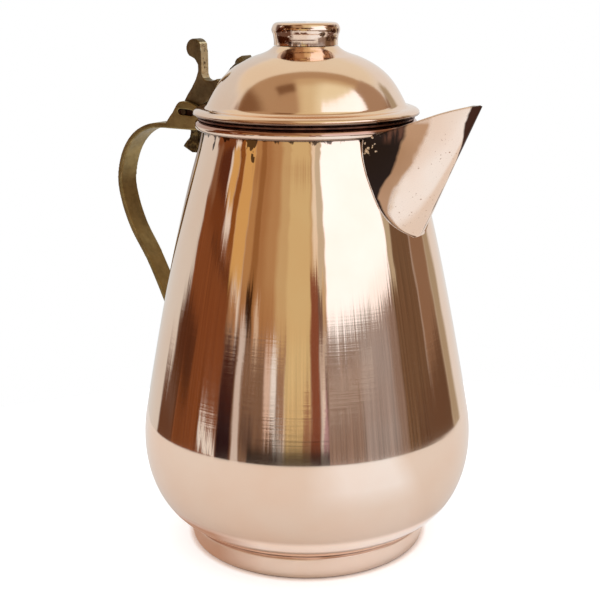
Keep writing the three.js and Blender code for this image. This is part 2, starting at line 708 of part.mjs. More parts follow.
const polishedCopper = () => metal(0xd9a184, 0.12);
const satinCopper = () => metal(0xdba78e, 0.3);
const agedBrass = () => metal(0x86703f, 0.45);
const darkBrass = () => metal(0x6d5a36, 0.5);
const ironWire = () => metal(0x4c4744, 0.6);

// Assembly: the jug's axis is set back so that the whole object is centred on the origin

const jug = new THREE.Group();
const lid = new THREE.Group();
const handleReach = Math.max(...throughKnots(strapKnots(), 36).map(([radius]) => radius));
jug.position.x = (handleReach - SPOUT_TIP_RADIUS) / 2;
jug.add(lid);

function place(name, geometry, material, parent = jug) {
  const mesh = new THREE.Mesh(geometry, material);
  mesh.name = name;
  parent.add(mesh);
  return mesh;
}

function placeRivet(name, seat, plateThickness, material, parent) {
  const mesh = place(name, rivetGeometry(GAP + plateThickness), material, parent);
  mesh.rotation.y = -Math.PI / 2 + seat.tilt;
  mesh.position.set(-seat.radius, 0, seat.z);
}

place('body_shell', bodyShell(), polishedCopper());
place('rim_wire', rimWire(), ironWire());
place('foot_ring', footRing(), satinCopper());
place('spout', spout(), satinCopper());
place('handle', handle(), agedBrass());
place('hinge_pin', barAlongY(PIN_RADIUS, PIN_LENGTH, -HINGE_RADIUS, hingeZ, 16), darkBrass());
for (const [name, seat] of Object.entries(wallRivetSeats)) {
  placeRivet(name, seat, WALL_RIVET_GRIP, polishedCopper(), jug);
}
place('lid_shell', lidShell(), polishedCopper(), lid);
place('lid_collar', lidCollar(), satinCopper(), lid);
place('lid_knob', lidKnob(), polishedCopper(), lid);
place('thumb_lift', thumbLift(), darkBrass(), lid);
for (const [name, seat] of Object.entries(liftRivetSeats)) {
  placeRivet(name, seat, LIFT_STRAP_THICKNESS, polishedCopper(), lid);
}

export default jug;
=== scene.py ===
import math

import bpy
from mathutils import Matrix, Vector


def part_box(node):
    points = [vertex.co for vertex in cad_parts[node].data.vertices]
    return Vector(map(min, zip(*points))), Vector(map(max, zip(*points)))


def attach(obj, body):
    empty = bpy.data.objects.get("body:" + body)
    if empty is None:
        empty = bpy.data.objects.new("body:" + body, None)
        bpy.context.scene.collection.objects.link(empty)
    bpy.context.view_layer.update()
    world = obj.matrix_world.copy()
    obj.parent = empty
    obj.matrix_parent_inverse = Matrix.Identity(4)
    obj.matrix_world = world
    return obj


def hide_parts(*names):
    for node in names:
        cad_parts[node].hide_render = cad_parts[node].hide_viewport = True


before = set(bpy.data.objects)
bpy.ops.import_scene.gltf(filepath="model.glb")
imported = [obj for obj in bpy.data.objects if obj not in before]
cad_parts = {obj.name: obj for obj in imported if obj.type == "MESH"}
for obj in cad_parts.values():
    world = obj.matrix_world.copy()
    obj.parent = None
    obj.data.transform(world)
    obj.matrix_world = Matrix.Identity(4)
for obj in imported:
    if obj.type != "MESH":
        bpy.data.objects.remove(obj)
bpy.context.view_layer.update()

# Where the jug stands.
# All its spun pieces share one upright axis, which the foot ring gives; the spout points along
# +X from it and the handle along -X.
MM = 0.001
VIEW_TURN = math.radians(32)
foot_low, foot_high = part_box("foot_ring")
AXIS = Vector(((foot_low.x + foot_high.x) / 2, 0, 0))


def at(radius, height, across=0.0):
    """A point given in millimetres from the jug's axis, out towards the spout, up, and across."""
    return AXIS + Vector((radius, across, height)) * MM


# The body.
# One copper sheet spun on a lathe: a bottom dished up, a pear-shaped belly and a long neck
# whose edge is rolled outwards over an iron wire. It is polished, and the tool's fine rings
# stay in it, most of all above the belly.
SHEET = 0.9
ROUND_STEPS = 168
BOTTOM_LINE = [(0, 6), (15, 5.75), (30.2, 5.2), (49.0, 4.0), (49.9, 4.15), (50.3, 4.8), (51.56, 9.86)]
BELLY_CURVE = [(51.66, 10.36), (70.59, 19.07), (72.37, 42.82), (69.59, 58)]
NECK_CURVE = [(69.59, 58), (51.43, 157.25), (44.66, 164.81), (42.5, 178.5)]
BEAD_CENTRE = (43.6, 179.7)
BEAD_RADIUS = 2.0
MERGE_DISTANCE = 0.01 * MM


def bezier(handles, steps):
    """Points on a cubic curve through the first and last of four handles."""
    a, b, c, d = (Vector(p) for p in handles)
    points = []
    for i in range(steps + 1):
        t = i / steps
        s = 1 - t
        points.append(tuple(a * s**3 + b * (3 * t * s * s) + c * (3 * t * t * s) + d * t**3))
    return points


def arc(centre, radius, start, end, steps):
    """Points on an arc, with its angles in degrees."""
    turns = [math.radians(start + (end - start) * i / steps) for i in range(steps + 1)]
    return [(centre[0] + radius * math.cos(t), centre[1] + radius * math.sin(t)) for t in turns]


def select_only(*pieces):
    bpy.ops.object.select_all(action="DESELECT")
    for piece in pieces:
        piece.select_set(True)
    bpy.context.view_layer.objects.active = pieces[-1]


def draw_line(name, points, closed=False):
    """A new piece in edit mode: one corner, drawn out from point to point as a line."""
    bpy.ops.object.select_all(action="DESELECT")
    bpy.ops.mesh.primitive_plane_add(size=MM, location=points[0])
    piece = bpy.context.object
    piece.name = name
    bpy.ops.object.transform_apply(location=True, rotation=False, scale=False)
    bpy.ops.object.mode_set(mode="EDIT")
    bpy.ops.mesh.select_all(action="SELECT")
    bpy.ops.mesh.merge(type="CENTER")
    ends = points[1:] + points[:1] if closed else points[1:]
    for start, end in zip(points, ends):
        bpy.ops.mesh.extrude_vertices_move(TRANSFORM_OT_translate={"value": Vector(end) - Vector(start)})
    bpy.ops.mesh.select_all(action="SELECT")
    bpy.ops.mesh.remove_doubles(threshold=MERGE_DISTANCE)
    return piece


def finish_mesh():
    """Turns the faces of the mesh being edited outwards and leaves edit mode."""
    bpy.ops.mesh.select_all(action="SELECT")
    bpy.ops.mesh.normals_make_consistent(inside=False)
    bpy.ops.object.mode_set(mode="OBJECT")


def spin_piece(name, outline, steps=ROUND_STEPS, closed=False):
    """Spins an outline of (radius, height) about the jug's axis, with its faces outwards."""
    piece = draw_line(name, [at(radius, height) for radius, height in outline], closed)
    bpy.ops.mesh.spin(steps=steps, angle=2 * math.pi, center=AXIS, axis=(0, 0, 1))
    bpy.ops.mesh.select_all(action="SELECT")
    bpy.ops.mesh.remove_doubles(threshold=MERGE_DISTANCE)
    finish_mesh()
    return piece


def draw_solid(name, points, depth):
    """A closed outline, filled with one face and drawn out into a solid."""
    piece = draw_line(name, points, closed=True)
    bpy.ops.mesh.edge_face_add()
    bpy.ops.mesh.extrude_region_move(TRANSFORM_OT_translate={"value": depth})
    finish_mesh()
    return piece


def turn_faces(piece):
    select_only(piece)
    bpy.ops.object.mode_set(mode="EDIT")
    bpy.ops.mesh.select_all(action="SELECT")
    bpy.ops.mesh.flip_normals()
    bpy.ops.object.mode_set(mode="OBJECT")


def face_outwards(piece, height):
    """Turns an open sheet so that its faces at this height look away from the axis."""
    mesh = piece.data
    nearest = min(mesh.polygons, key=lambda face: abs(face.center.z - height * MM))
    if nearest.normal.dot(nearest.center - AXIS - Vector((0, 0, nearest.center.z))) < 0:
        turn_faces(piece)


def finish_modifier(piece, modifier):
    select_only(piece)
    bpy.ops.object.modifier_apply(modifier=modifier.name)


def thicken(piece, thickness, lined=False):
    """Gives a sheet its thickness behind its faces, with a second material there for a lining."""
    if lined:
        piece.data.materials.append(None)
        piece.data.materials.append(None)
    wall = piece.modifiers.new("wall", "SOLIDIFY")
    wall.thickness = thickness * MM
    wall.offset = -1
    wall.use_even_offset = True
    wall.material_offset = 1 if lined else 0
    finish_modifier(piece, wall)


def cut_out(piece, cutter):
    """Takes a closed cutter out of a piece, and the cutter away."""
    cut = piece.modifiers.new("cut", "BOOLEAN")
    cut.operation = "DIFFERENCE"
    cut.solver = "EXACT"
    cut.object = cutter
    finish_modifier(piece, cut)
    bpy.data.objects.remove(cutter)


def smooth(piece, angle=35):
    select_only(piece)
    bpy.ops.object.shade_smooth_by_angle(angle=math.radians(angle))


body_line = BOTTOM_LINE + bezier(BELLY_CURVE, 44) + bezier(NECK_CURVE, 52)[1:]
rim_curl = arc(BEAD_CENTRE, BEAD_RADIUS - SHEET, 180, -98, 18)
body = spin_piece("jug_body", body_line + rim_curl)
face_outwards(body, 100)
thicken(body, SHEET)

# The mouth of the spout is one opening in the wall, well inside the spout's joint. Its cutter
# starts inside the jug and reaches out through one side of the wall.
HALF_MOUTH = [(0, 145), (6.1, 146), (11, 149.5), (14.5, 155), (16, 162), (15.5, 169), (13.1, 172.5)]
CUTTER_START = 25
CUTTER_REACH = 50
mouth_outline = HALF_MOUTH + [(-y, z) for y, z in reversed(HALF_MOUTH[1:])]
mouth_points = [at(CUTTER_START, z, y) for y, z in mouth_outline]
cut_out(body, draw_solid("mouth_cutter", mouth_points, (CUTTER_REACH * MM, 0, 0)))
smooth(body)


def fill_sockets(tree, made, sockets):
    """Gives sockets of a node a value or the output of another node."""
    for socket, value in sockets.items():
        if isinstance(value, bpy.types.NodeSocket):
            tree.links.new(value, made.inputs[socket])
        else:
            made.inputs[socket].default_value = value


def add_node(tree, kind, sockets=None, **settings):
    """One shader node with its settings and sockets."""
    made = tree.nodes.new("ShaderNode" + kind)
    for key, value in settings.items():
        setattr(made, key, value)
    fill_sockets(tree, made, sockets or {})
    return made


def place_from_axis(tree):
    """The place on a piece, measured from the foot of the jug's axis."""
    place = add_node(tree, "TexCoord").outputs["Object"]
    return add_node(tree, "Mapping", {"Vector": place, "Location": -AXIS}).outputs["Vector"]


def height_of(tree, place):
    return add_node(tree, "SeparateXYZ", {0: place}).outputs["Z"]


def new_material(name, metallic=1.0):
    """A material with its nodes, its principled shader and the place on the piece."""
    made = bpy.data.materials.new(name)
    made.use_nodes = True
    tree = made.node_tree
    shader = tree.nodes["Principled BSDF"]
    shader.inputs["Metallic"].default_value = metallic
    return made, tree, shader, place_from_axis(tree)


def calculate(tree, operation, first, second=0.0, third=0.0):
    return add_node(tree, "Math", {0: first, 1: second, 2: third}, operation=operation).outputs[0]


def product(tree, first, *others):
    for value in others:
        first = calculate(tree, "MULTIPLY", first, value)
    return first


def noise(tree, place, scale, detail=3.0, roughness=0.5):
    sockets = {"Vector": place, "Scale": scale, "Detail": detail, "Roughness": roughness}
    return add_node(tree, "TexNoise", sockets).outputs[0]


def stretched_noise(tree, place, scales, detail=3.0, roughness=0.5):
    """Noise with a scale of its own along each axis."""
    stretched = add_node(tree, "Mapping", {"Vector": place, "Scale": scales}).outputs["Vector"]
    return noise(tree, stretched, 1.0, detail, roughness)


def spread(tree, value, low, high, new_low=0.0, new_high=1.0):
    """Spreads the values from low to high over a new range, and stops at its ends."""
    sockets = {"Value": value, "From Min": low, "From Max": high, "To Min": new_low, "To Max": new_high}
    return add_node(tree, "MapRange", sockets).outputs["Result"]


def band(tree, value, low, high, soft):
    """1 between two values and 0 outside them, with a soft step round each."""
    rise = spread(tree, value, low - soft, low + soft)
    fall = spread(tree, value, high + soft, high - soft)
    return product(tree, rise, fall)


def blend_colours(tree, share, first, second):
    return add_node(tree, "Mix", {0: share, 6: first, 7: second}, data_type="RGBA").outputs[2]


def layered(tree, colour, layers):
    """A colour with others laid over it in turn, each by its share."""
    for share, over in layers:
        colour = blend_colours(tree, share, colour, over)
    return colour


def lathe_direction(tree, place):
    """The direction up the wall, square to the lathe's rings, for stretched reflections."""
    normal = add_node(tree, "NewGeometry").outputs["Normal"]
    around = add_node(tree, "VectorMath", {0: (0.0, 0.0, 1.0), 1: place}, operation="CROSS_PRODUCT")
    up = add_node(tree, "VectorMath", {0: normal, 1: around.outputs[0]}, operation="CROSS_PRODUCT")
    return add_node(tree, "VectorMath", {0: up.outputs[0]}, operation="NORMALIZE").outputs[0]


def bump(tree, height, distance, under=None):
    sockets = {"Height": height, "Distance": distance, "Strength": 1.0}
    if under is not None:
        sockets["Normal"] = under
    return add_node(tree, "Bump", sockets).outputs["Normal"]


def crevice_dirt_and_shade(tree):
    """How deep in a corner a place lies, from ambient occlusion: painted shade in corners, with polish dirt
    in it.
    """
    open_share = add_node(tree, "AmbientOcclusion", {"Distance": 1.6 * MM}, samples=6).outputs["AO"]
    return spread(tree, open_share, 0.62, 0.22)


SHADE_AND_GRIME = (0.05, 0.025, 0.018, 1)
COPPER = (0.93, 0.71, 0.56, 1)
WARM_COPPER = (0.92, 0.66, 0.50, 1)
BEAD_RED = (0.42, 0.17, 0.11, 1)
SHORTEST_DRIP = 0.1
LONG_DRIP = 2.8
LONGEST_RUN = 7


def clouded_copper(tree, place, scale, detail):
    """Copper's colour, a little warmer in clouds."""
    cloud = spread(tree, noise(tree, place, scale, detail), 0.35, 0.7)
    return blend_colours(tree, cloud, COPPER, WARM_COPPER)


def shade_and_grime_below(tree, place, height, top):
    """The share of dark in a ragged line of drips below a height, with a few longer runs: painted shade under
    the rolled rim, with dirt in its drips.
    """
    drips = stretched_noise(tree, place, (260, 260, 90), 4.0, 0.6)
    reach = spread(tree, drips, 0.50, 0.70, SHORTEST_DRIP * MM, LONG_DRIP * MM)
    runs = spread(tree, stretched_noise(tree, place, (110, 110, 5), 2.0), 0.57, 0.63, 0.0, LONGEST_RUN * MM)
    reach = calculate(tree, "ADD", reach, product(tree, runs, spread(tree, drips, 0.35, 0.6)))
    level = calculate(tree, "ADD", reach, height)
    shade_and_grime = spread(tree, level, (top - 0.4) * MM, (top + 0.3) * MM, 0.0, 0.9)
    return product(tree, shade_and_grime, spread(tree, height, (top + 0.4) * MM, (top + 0.2) * MM))


def polished_copper(name, mirror, satin, ring_depth, ring_zone, unevenness, shaded_grimy_top=0):
    """Copper polished on the lathe: a mirror, turning satin where the tool's rings are deepest.

    The rings set in between the zone's first two heights and fade between its last two.
    """
    made, tree, shader, place = new_material(name)
    shader.inputs["Anisotropic"].default_value = 0.8
    colour = clouded_copper(tree, place, 38.0, 4.0)
    height = height_of(tree, place)
    # Below the top height, a painted shade line with dirt drips darkens the colour.
    if shaded_grimy_top:
        colour = blend_colours(tree, shade_and_grime_below(tree, place, height, shaded_grimy_top), colour, SHADE_AND_GRIME)
    low, full, upper, high = (z * MM for z in ring_zone)
    zone = calculate(tree, "MINIMUM", spread(tree, height, low, full), spread(tree, height, high, upper))
    smear = spread(tree, stretched_noise(tree, place, (60, 60, 400)), 0.3, 0.7, 0.6, 1.4)
    coarse = spread(tree, stretched_noise(tree, place, (35, 35, 480), 1.0), 0.42, 0.72)
    fine = stretched_noise(tree, place, (18, 18, 1500), 2.0, 0.6)
    both = calculate(tree, "MULTIPLY_ADD", coarse, 0.45, fine)
    rings = product(tree, both, spread(tree, zone, 0, 1, 0.12, 1.0))
    waves = bump(tree, stretched_noise(tree, place, (22, 22, 9), 2.5, 0.55), unevenness * MM)
    fill_sockets(tree, shader, {
        # Darker deep in corners: painted shade, with polish dirt in it.
        "Base Color": blend_colours(tree, crevice_dirt_and_shade(tree), colour, SHADE_AND_GRIME),
        "Tangent": lathe_direction(tree, place),
        "Roughness": spread(tree, product(tree, zone, smear), 0, 1, mirror, satin),
        "Normal": bump(tree, rings, ring_depth * MM, waves),
    })
    return made


def lay_over(made, share, colour):
    """Lays a colour over the one that a finished material has, by its share."""
    tree = made.node_tree
    base = tree.nodes["Principled BSDF"].inputs["Base Color"]
    tree.links.new(blend_colours(tree, share, base.links[0].from_socket, colour), base)


def darken_between(made, low, high, amount, colour):
    """Darkens a finished copper between two heights given in millimetres."""
    tree = made.node_tree
    height = height_of(tree, place_from_axis(tree))
    share = product(tree, band(tree, height, low * MM, high * MM, 0.15 * MM), amount)
    lay_over(made, share, colour)


def dress(piece, material, slot, body_name, *nodes, lining=None):
    """Gives a finished piece its material and the body it rides on, and hides the parts that it stands for;
    its slot is not used.
    """
    if lining:
        piece.data.materials[0] = material
        piece.data.materials[1] = lining
    else:
        piece.data.materials.clear()
        piece.data.materials.append(material)
    if nodes:
        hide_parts(*nodes)
    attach(piece, body_name)


body_copper = polished_copper(
    "body_copper", mirror=0.05, satin=0.07, ring_depth=0.013, ring_zone=(64, 74, 92, 118), unevenness=0.16,
    shaded_grimy_top=177.7,
)
# A darker red band round the top of the rolled rim, under the lid's flange.
darken_between(body_copper, 180.0, 183.0, 0.75, BEAD_RED)
# A dark band just under the roll: painted shade.
darken_between(body_copper, 177.5, 178.6, 0.7, SHADE_AND_GRIME)
dress(body, body_copper, "polished_copper", "jug", "body_shell")

# Its inside is tinned, as copper for drink is.
BRIGHT_TIN = (0.58, 0.56, 0.53, 1)
DULL_TIN = (0.42, 0.40, 0.38, 1)
LINING_TOP = 177.5
BOTTOM_TOP = 12
tin_lining, tree, shader, place = new_material("tin_lining")
wiped = noise(tree, place, 120.0, 4.0)
tin_colour = blend_colours(tree, spread(tree, wiped, 0.35, 0.65), BRIGHT_TIN, DULL_TIN)
fill_sockets(tree, shader, {
    # Darker deep in corners: painted shade, with dirt in it.
    "Base Color": blend_colours(tree, crevice_dirt_and_shade(tree), tin_colour, SHADE_AND_GRIME),
    "Roughness": spread(tree, wiped, 0.3, 0.7, 0.28, 0.45),
})


def is_inside(place, normal):
    """Whether a face of the body lies inside the jug, below the roll."""
    outward = (place - AXIS) * Vector((1, 1, 0))
    faces_in = normal.dot(outward.normalized()) < -0.2
    faces_up = normal.z > 0.5 and place.z < BOTTOM_TOP * MM
    return place.z < LINING_TOP * MM and (faces_in or faces_up)


body.data.materials.append(tin_lining)
for face in body.data.polygons:
    if is_inside(face.center, face.normal):
        face.material_index = 1

# The iron wire inside the rolled rim.
# It stiffens the mouth and hardly shows, so the solid's own ring keeps its place and gets a
# dark, slightly rusty iron.
IRON = (0.16, 0.14, 0.13, 1)
RUST = (0.22, 0.09, 0.04, 1)


def blotchy_metal(name, scales, detail, contrast, colours, roughness, metallic=1.0):
    """A metal whose colour and gloss change in blotches from one to another."""
    made, tree, shader, place = new_material(name, metallic)
    blotches = spread(tree, stretched_noise(tree, place, scales, detail), *contrast)
    fill_sockets(tree, shader, {
        "Base Color": blend_colours(tree, blotches, *colours),
        "Roughness": spread(tree, blotches, 0, 1, *roughness),
    })
    return made, tree, shader, place


wire_iron, *_ = blotchy_metal(
    "wire_iron", (900, 900, 900), 4.0, (0.4, 0.65), (IRON, RUST), (0.45, 0.8), metallic=0.9
)
rim_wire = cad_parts["rim_wire"]
rim_wire.data.materials.clear()
rim_wire.data.materials.append(wire_iron)

# The foot ring.
# A flared copper band soldered round the body's lower edge, its own edge turned in flat for
# standing on. It is rubbed to a satin.
FOOT_OUTLINE = [
    (46.5, 0.15), (46.8, 0), (50.1, 0), (50.6, 0.2), (50.95, 0.7), (51.3, 2.2), (51.8, 4.4), (52.35, 6.8),
    (52.85, 8.7), (53.05, 9.4), (52.95, 9.85), (52.6, 10.1), (52.1, 10.05), (51.95, 9.6), (50.9, 5.4),
    (49.95, 1.3), (49.5, 1.1), (46.8, 1.1), (46.5, 0.95),
]
foot = spin_piece("foot_band", FOOT_OUTLINE, closed=True)
smooth(foot, 50)
foot_copper = polished_copper(
    "foot_copper", mirror=0.3, satin=0.34, ring_depth=0.01, ring_zone=(-5, 0, 12, 20), unevenness=0.1
)
dress(foot, foot_copper, "satin_copper", "jug", "foot_ring")

# The solder along the foot.
# It fills the narrow wedge between the foot's upper edge and the belly with a brownish line.
FOOT_SEAM = [(51.3, 9.2), (52.3, 10.0), (52.95, 9.8), (53.25, 10.3), (53.5, 11.1), (51.4, 10.2)]
SEAM_LIGHT = (0.72, 0.42, 0.29, 1)
SEAM_BROWN = (0.52, 0.27, 0.16, 1)
foot_seam = spin_piece("foot_solder", FOOT_SEAM, closed=True)
smooth(foot_seam, 60)
foot_solder, *_ = blotchy_metal(
    "foot_solder_copper", (90, 90, 400), 3.0, (0.35, 0.65), (SEAM_LIGHT, SEAM_BROWN), (0.3, 0.45)
)
dress(foot_seam, foot_solder, "satin_copper", "jug")

# The spout.
# A V of copper sheet folded lengthwise, broad and round in its fold at the body and tight at
# the tip, with its top edge cut straight. It is soldered on round the mouth in the wall.
SPOUT_SHEET = 1.1
SPOUT_FOOT_Z = 138.4
SPOUT_TOP_Z = 178.5
SPOUT_KEEL_SLOPE = 0.4702
SPOUT_TIP = (77.7, 190.3)
SPOUT_HALF_WIDTH = 21.9
# Shares of the full half width along the joint, and of the fold's roundness, by the share of
# the way up from the spout's foot.
JOINT_WIDTHS = [
    (-0.02, 0.12), (0.02, 0.29), (0.066, 0.48), (0.164, 0.74), (0.28, 0.895), (0.425, 0.962), (0.636, 1),
    (0.79, 0.99), (1, 0.94),
]
FOLD_SHARES = [(0, 0.42), (0.2, 0.5), (0.43, 0.47), (0.79, 0.38), (1, 0.37), (1.3, 0.2)]
TOP_EDGE = [(20, 170.5), (40, 178.2), (64, 187.4), (68.5, 188.8), (73, 189.9), (77.8, 190.3), (80, 190.3)]
JOINT_STOP_Z = 178
JOINT_STOP_SOFTNESS = 2.5
wall_by_height = [(z, r) for r, z in bezier(BELLY_CURVE, 60) + bezier(NECK_CURVE, 90)[1:]]


def between(table, key):
    """A value read between the entries of a short table of pairs."""
    if key <= table[0][0]:
        return table[0][1]
    for (k0, v0), (k1, v1) in zip(table, table[1:]):
        if key <= k1:
            return v0 + (v1 - v0) * (key - k0) / (k1 - k0)
    return table[-1][1]


def eased(table, key, reach=0.05):
    """The same, with the table's corners rounded off."""
    samples = [between(table, key + reach * step / 3) for step in range(-3, 4)]
    return sum(samples) / len(samples)


def keel_at(z):
    """The fold's reach from the axis at one level."""
    return SPOUT_TIP[0] + SPOUT_KEEL_SLOPE * (z - SPOUT_TIP[1])


def spout_section(z):
    """Half width at the joint, fold and slope of the section, which is a hyperbola, at one level."""
    above = math.exp((JOINT_STOP_Z - z) / JOINT_STOP_SOFTNESS)
    joint_z = JOINT_STOP_Z - JOINT_STOP_SOFTNESS * math.log(1 + above)
    share = (z - SPOUT_FOOT_Z) / (SPOUT_TOP_Z - SPOUT_FOOT_Z)
    half = SPOUT_HALF_WIDTH * eased(JOINT_WIDTHS, min(share, 1))
    depth = keel_at(joint_z) - math.sqrt(between(wall_by_height, joint_z) ** 2 - half**2)
    fold = eased(FOLD_SHARES, share) * half**2 / (2 * depth)
    slope2 = depth**2 / (half**2 - 2 * depth * fold)
    return half, fold * slope2, slope2


def spout_point(z, share):
    """Reach and sideways place on the spout, at a level and a share of the way to the joint."""
    half, lean, slope2 = spout_section(z)
    across = half * share
    return keel_at(z) - (math.sqrt(lean**2 + slope2 * across**2) - lean), across


def top_of_column(share):
    """Height at which a column of the spout meets the straight top edge."""
    low, high = SPOUT_FOOT_Z, SPOUT_TIP[1] + 2
    for _ in range(40):
        middle = (low + high) / 2
        if middle < between(TOP_EDGE, spout_point(middle, share)[0]):
            low = middle
        else:
            high = middle
    return low


SPOUT_COLUMNS = 44
SPOUT_ROWS = 72
bpy.ops.object.select_all(action="DESELECT")
bpy.ops.mesh.primitive_grid_add(
    x_subdivisions=2 * SPOUT_COLUMNS, y_subdivisions=SPOUT_ROWS, size=2, location=(0, 0, 0)
)
spout = bpy.context.object
spout.name = "spout_sheet"
JOINT_TUCK = 1.012
FOOT_TUCK = 0.25
CLOSER_AT_FOLD = 1.5
CLOSER_AT_FOOT = 1.25
column_tops = {}
from_fold = spout.data.attributes.new("from_fold", "FLOAT", "POINT")
for corner in spout.data.vertices:
    key = round(corner.co.x, 5)
    share = JOINT_TUCK * math.copysign(abs(corner.co.x) ** CLOSER_AT_FOLD, corner.co.x)
    if key not in column_tops:
        column_tops[key] = top_of_column(share)
    climb = ((corner.co.y + 1) / 2) ** CLOSER_AT_FOOT
    lowest = SPOUT_FOOT_Z - FOOT_TUCK
    z = lowest + (column_tops[key] - lowest) * climb
    x, across = spout_point(z, share)
    corner.co = at(x, z, across)
    from_fold.data[corner.index].value = abs(share)
face_outwards(spout, 182)
thicken(spout, SPOUT_SHEET, lined=True)
rounding = spout.modifiers.new("edge", "BEVEL")
rounding.width = 0.25 * MM
rounding.segments = 2
rounding.limit_method = "ANGLE"
rounding.angle_limit = math.radians(60)
finish_modifier(spout, rounding)
smooth(spout, 45)


DARK_REFLECTION_AND_SHADE = (0.035, 0.022, 0.018, 1)
DARK_BROWN_REFLECTION = (0.16, 0.07, 0.045, 1)
TAN_REFLECTION = (0.62, 0.35, 0.20, 1)
TIP_DARK = (0.055, 0.020, 0.012, 1)
PITTED = (0.45, 0.25, 0.16, 1)
# Where the painted reflections and the darker fold tip begin, as a share of the way from the fold to the
# joint. Between two heights in millimetres, each step adds from its first share to its second.
DARK_REFLECTION_BORDER = [(150, 156, 1.2, 0.96), (156, 165, 0.0, -0.22), (165, 178, 0.0, -0.09)]
BROWN_BORDER = [(150, 169, 0.90, 0.52), (169, 182, 0.0, -0.05)]
TIP_BORDER = [(170, 184, 0.02, 0.17)]


def zone_border(tree, height, steps):
    border = 0.0
    for low, high, first, second in steps:
        step = spread(tree, height, low * MM, high * MM, first, second)
        border = calculate(tree, "ADD", border, step)
    return border


def sheet_copper(name, roughness, unevenness):
    """Copper sheet worked by hand, with painted dark and tan reflections and painted shade along its joint,
    and darker at the fold's tip.
    """
    made, tree, shader, place = new_material(name)
    height = height_of(tree, place)
    ragged = spread(tree, noise(tree, place, 90.0), 0.3, 0.7, -0.025, 0.025)
    share = add_node(tree, "Attribute", attribute_name="from_fold").outputs["Fac"]
    share = calculate(tree, "ADD", share, ragged)
    past_dark_reflection = calculate(tree, "SUBTRACT", share, zone_border(tree, height, DARK_REFLECTION_BORDER))
    past_brown = calculate(tree, "SUBTRACT", share, zone_border(tree, height, BROWN_BORDER))
    past_tip = calculate(tree, "SUBTRACT", zone_border(tree, height, TIP_BORDER), share)
    pitted = spread(tree, noise(tree, place, 70.0, 2.0), 0.45, 0.6, 0.0, 0.05)
    pits = spread(tree, calculate(tree, "ADD", noise(tree, place, 1100.0, 1.5), pitted), 0.74, 0.78)
    below_top_edge = spread(tree, height, 184.6 * MM, 183.4 * MM, 0.35, 1.0)
    brown = product(tree, spread(tree, past_brown, 0.0, 0.035), below_top_edge)
    wisps = product(
        tree, spread(tree, height, 175.5 * MM, 178.5 * MM), spread(tree, share, 0.84, 0.80),
        spread(tree, past_dark_reflection, 0.0, 0.03),
        spread(tree, stretched_noise(tree, place, (500, 500, 90)), 0.42, 0.58),
    )
    specks = product(
        tree, spread(tree, noise(tree, place, 520.0, 2.0), 0.61, 0.65), spread(tree, share, 0.85, 0.88),
        spread(tree, height, 171.5 * MM, 173 * MM),
    )
    # Dark and tan patches near the joint, with their wisps and bright specks, are painted reflections; the
    # dark strip right at the joint is painted shade; the fold's top is darker.
    colour = layered(tree, clouded_copper(tree, place, 60.0, 5.0), [
        (pits, PITTED),
        (brown, TAN_REFLECTION),
        (spread(tree, past_dark_reflection, -0.01, 0.02), DARK_REFLECTION_AND_SHADE),
        (spread(tree, share, 0.955, 0.985), DARK_REFLECTION_AND_SHADE),
        (wisps, DARK_BROWN_REFLECTION),
        (specks, COPPER),
        (spread(tree, past_tip, 0.0, 0.02), TIP_DARK),
        # Darker deep in corners: painted shade, with dirt in it.
        (crevice_dirt_and_shade(tree), SHADE_AND_GRIME),
    ])
    smear = noise(tree, place, 90.0, 4.0)
    polish = spread(tree, smear, 0.3, 0.7, roughness * 0.7, roughness * 1.4)
    dull = spread(tree, past_brown, -0.03, 0.03, 0.0, 0.26)
    dents = bump(tree, noise(tree, place, 45.0, 1.5), unevenness * MM)
    scratches = stretched_noise(tree, place, (300, 900, 1500))
    fill_sockets(tree, shader, {
        "Base Color": colour,
        "Roughness": calculate(tree, "ADD", polish, dull),
        "Normal": bump(tree, scratches, 0.002 * MM, dents),
    })
    return made


spout_copper = sheet_copper("spout_copper", roughness=0.12, unevenness=0.12)
dress(spout, spout_copper, "satin_copper", "jug", "spout", lining=tin_lining)

# The solder along the spout's joint.
# A thin bright seam that fills the corner between the spout's edge and the wall, on both sides
# and under the fold, where it is thinnest.
SEAM_RADIUS = 0.34
SEAM_STEPS = 40
SOLDER_BRIGHT = (0.80, 0.66, 0.55, 1)
SOLDER_DULL = (0.60, 0.42, 0.31, 1)
seam_rise = top_of_column(1) - SPOUT_FOOT_Z
half_seam = []
for i in range(SEAM_STEPS + 1):
    z = SPOUT_FOOT_Z + seam_rise * (i / SEAM_STEPS) ** 1.6
    x, across = spout_point(z, 1)
    half_seam.append(at(x, z, across))
far_seam = [Vector((p.x, -p.y, p.z)) for p in half_seam[:0:-1]]
seam = draw_line("spout_solder", far_seam + half_seam)
bpy.ops.object.mode_set(mode="OBJECT")
bpy.ops.object.convert(target="CURVE")
seam = bpy.context.object
seam.data.bevel_depth = SEAM_RADIUS * MM
for point in seam.data.splines[0].points:
    point.radius = min(1, 0.4 + (point.co.z / MM - SPOUT_FOOT_Z) / 12)
seam.data.bevel_resolution = 3
seam.data.use_fill_caps = True
bpy.ops.object.convert(target="MESH")
seam = bpy.context.object
smooth(seam, 60)
solder, tree, shader, place = blotchy_metal(
    "solder", (500, 500, 500), 3.0, (0.4, 0.6), (SOLDER_BRIGHT, SOLDER_DULL), (0.22, 0.4)
)
tree.links.new(bump(tree, noise(tree, place, 700.0, 2.0), 0.08 * MM), shader.inputs["Normal"])
dress(seam, solder, "satin_copper", "jug")

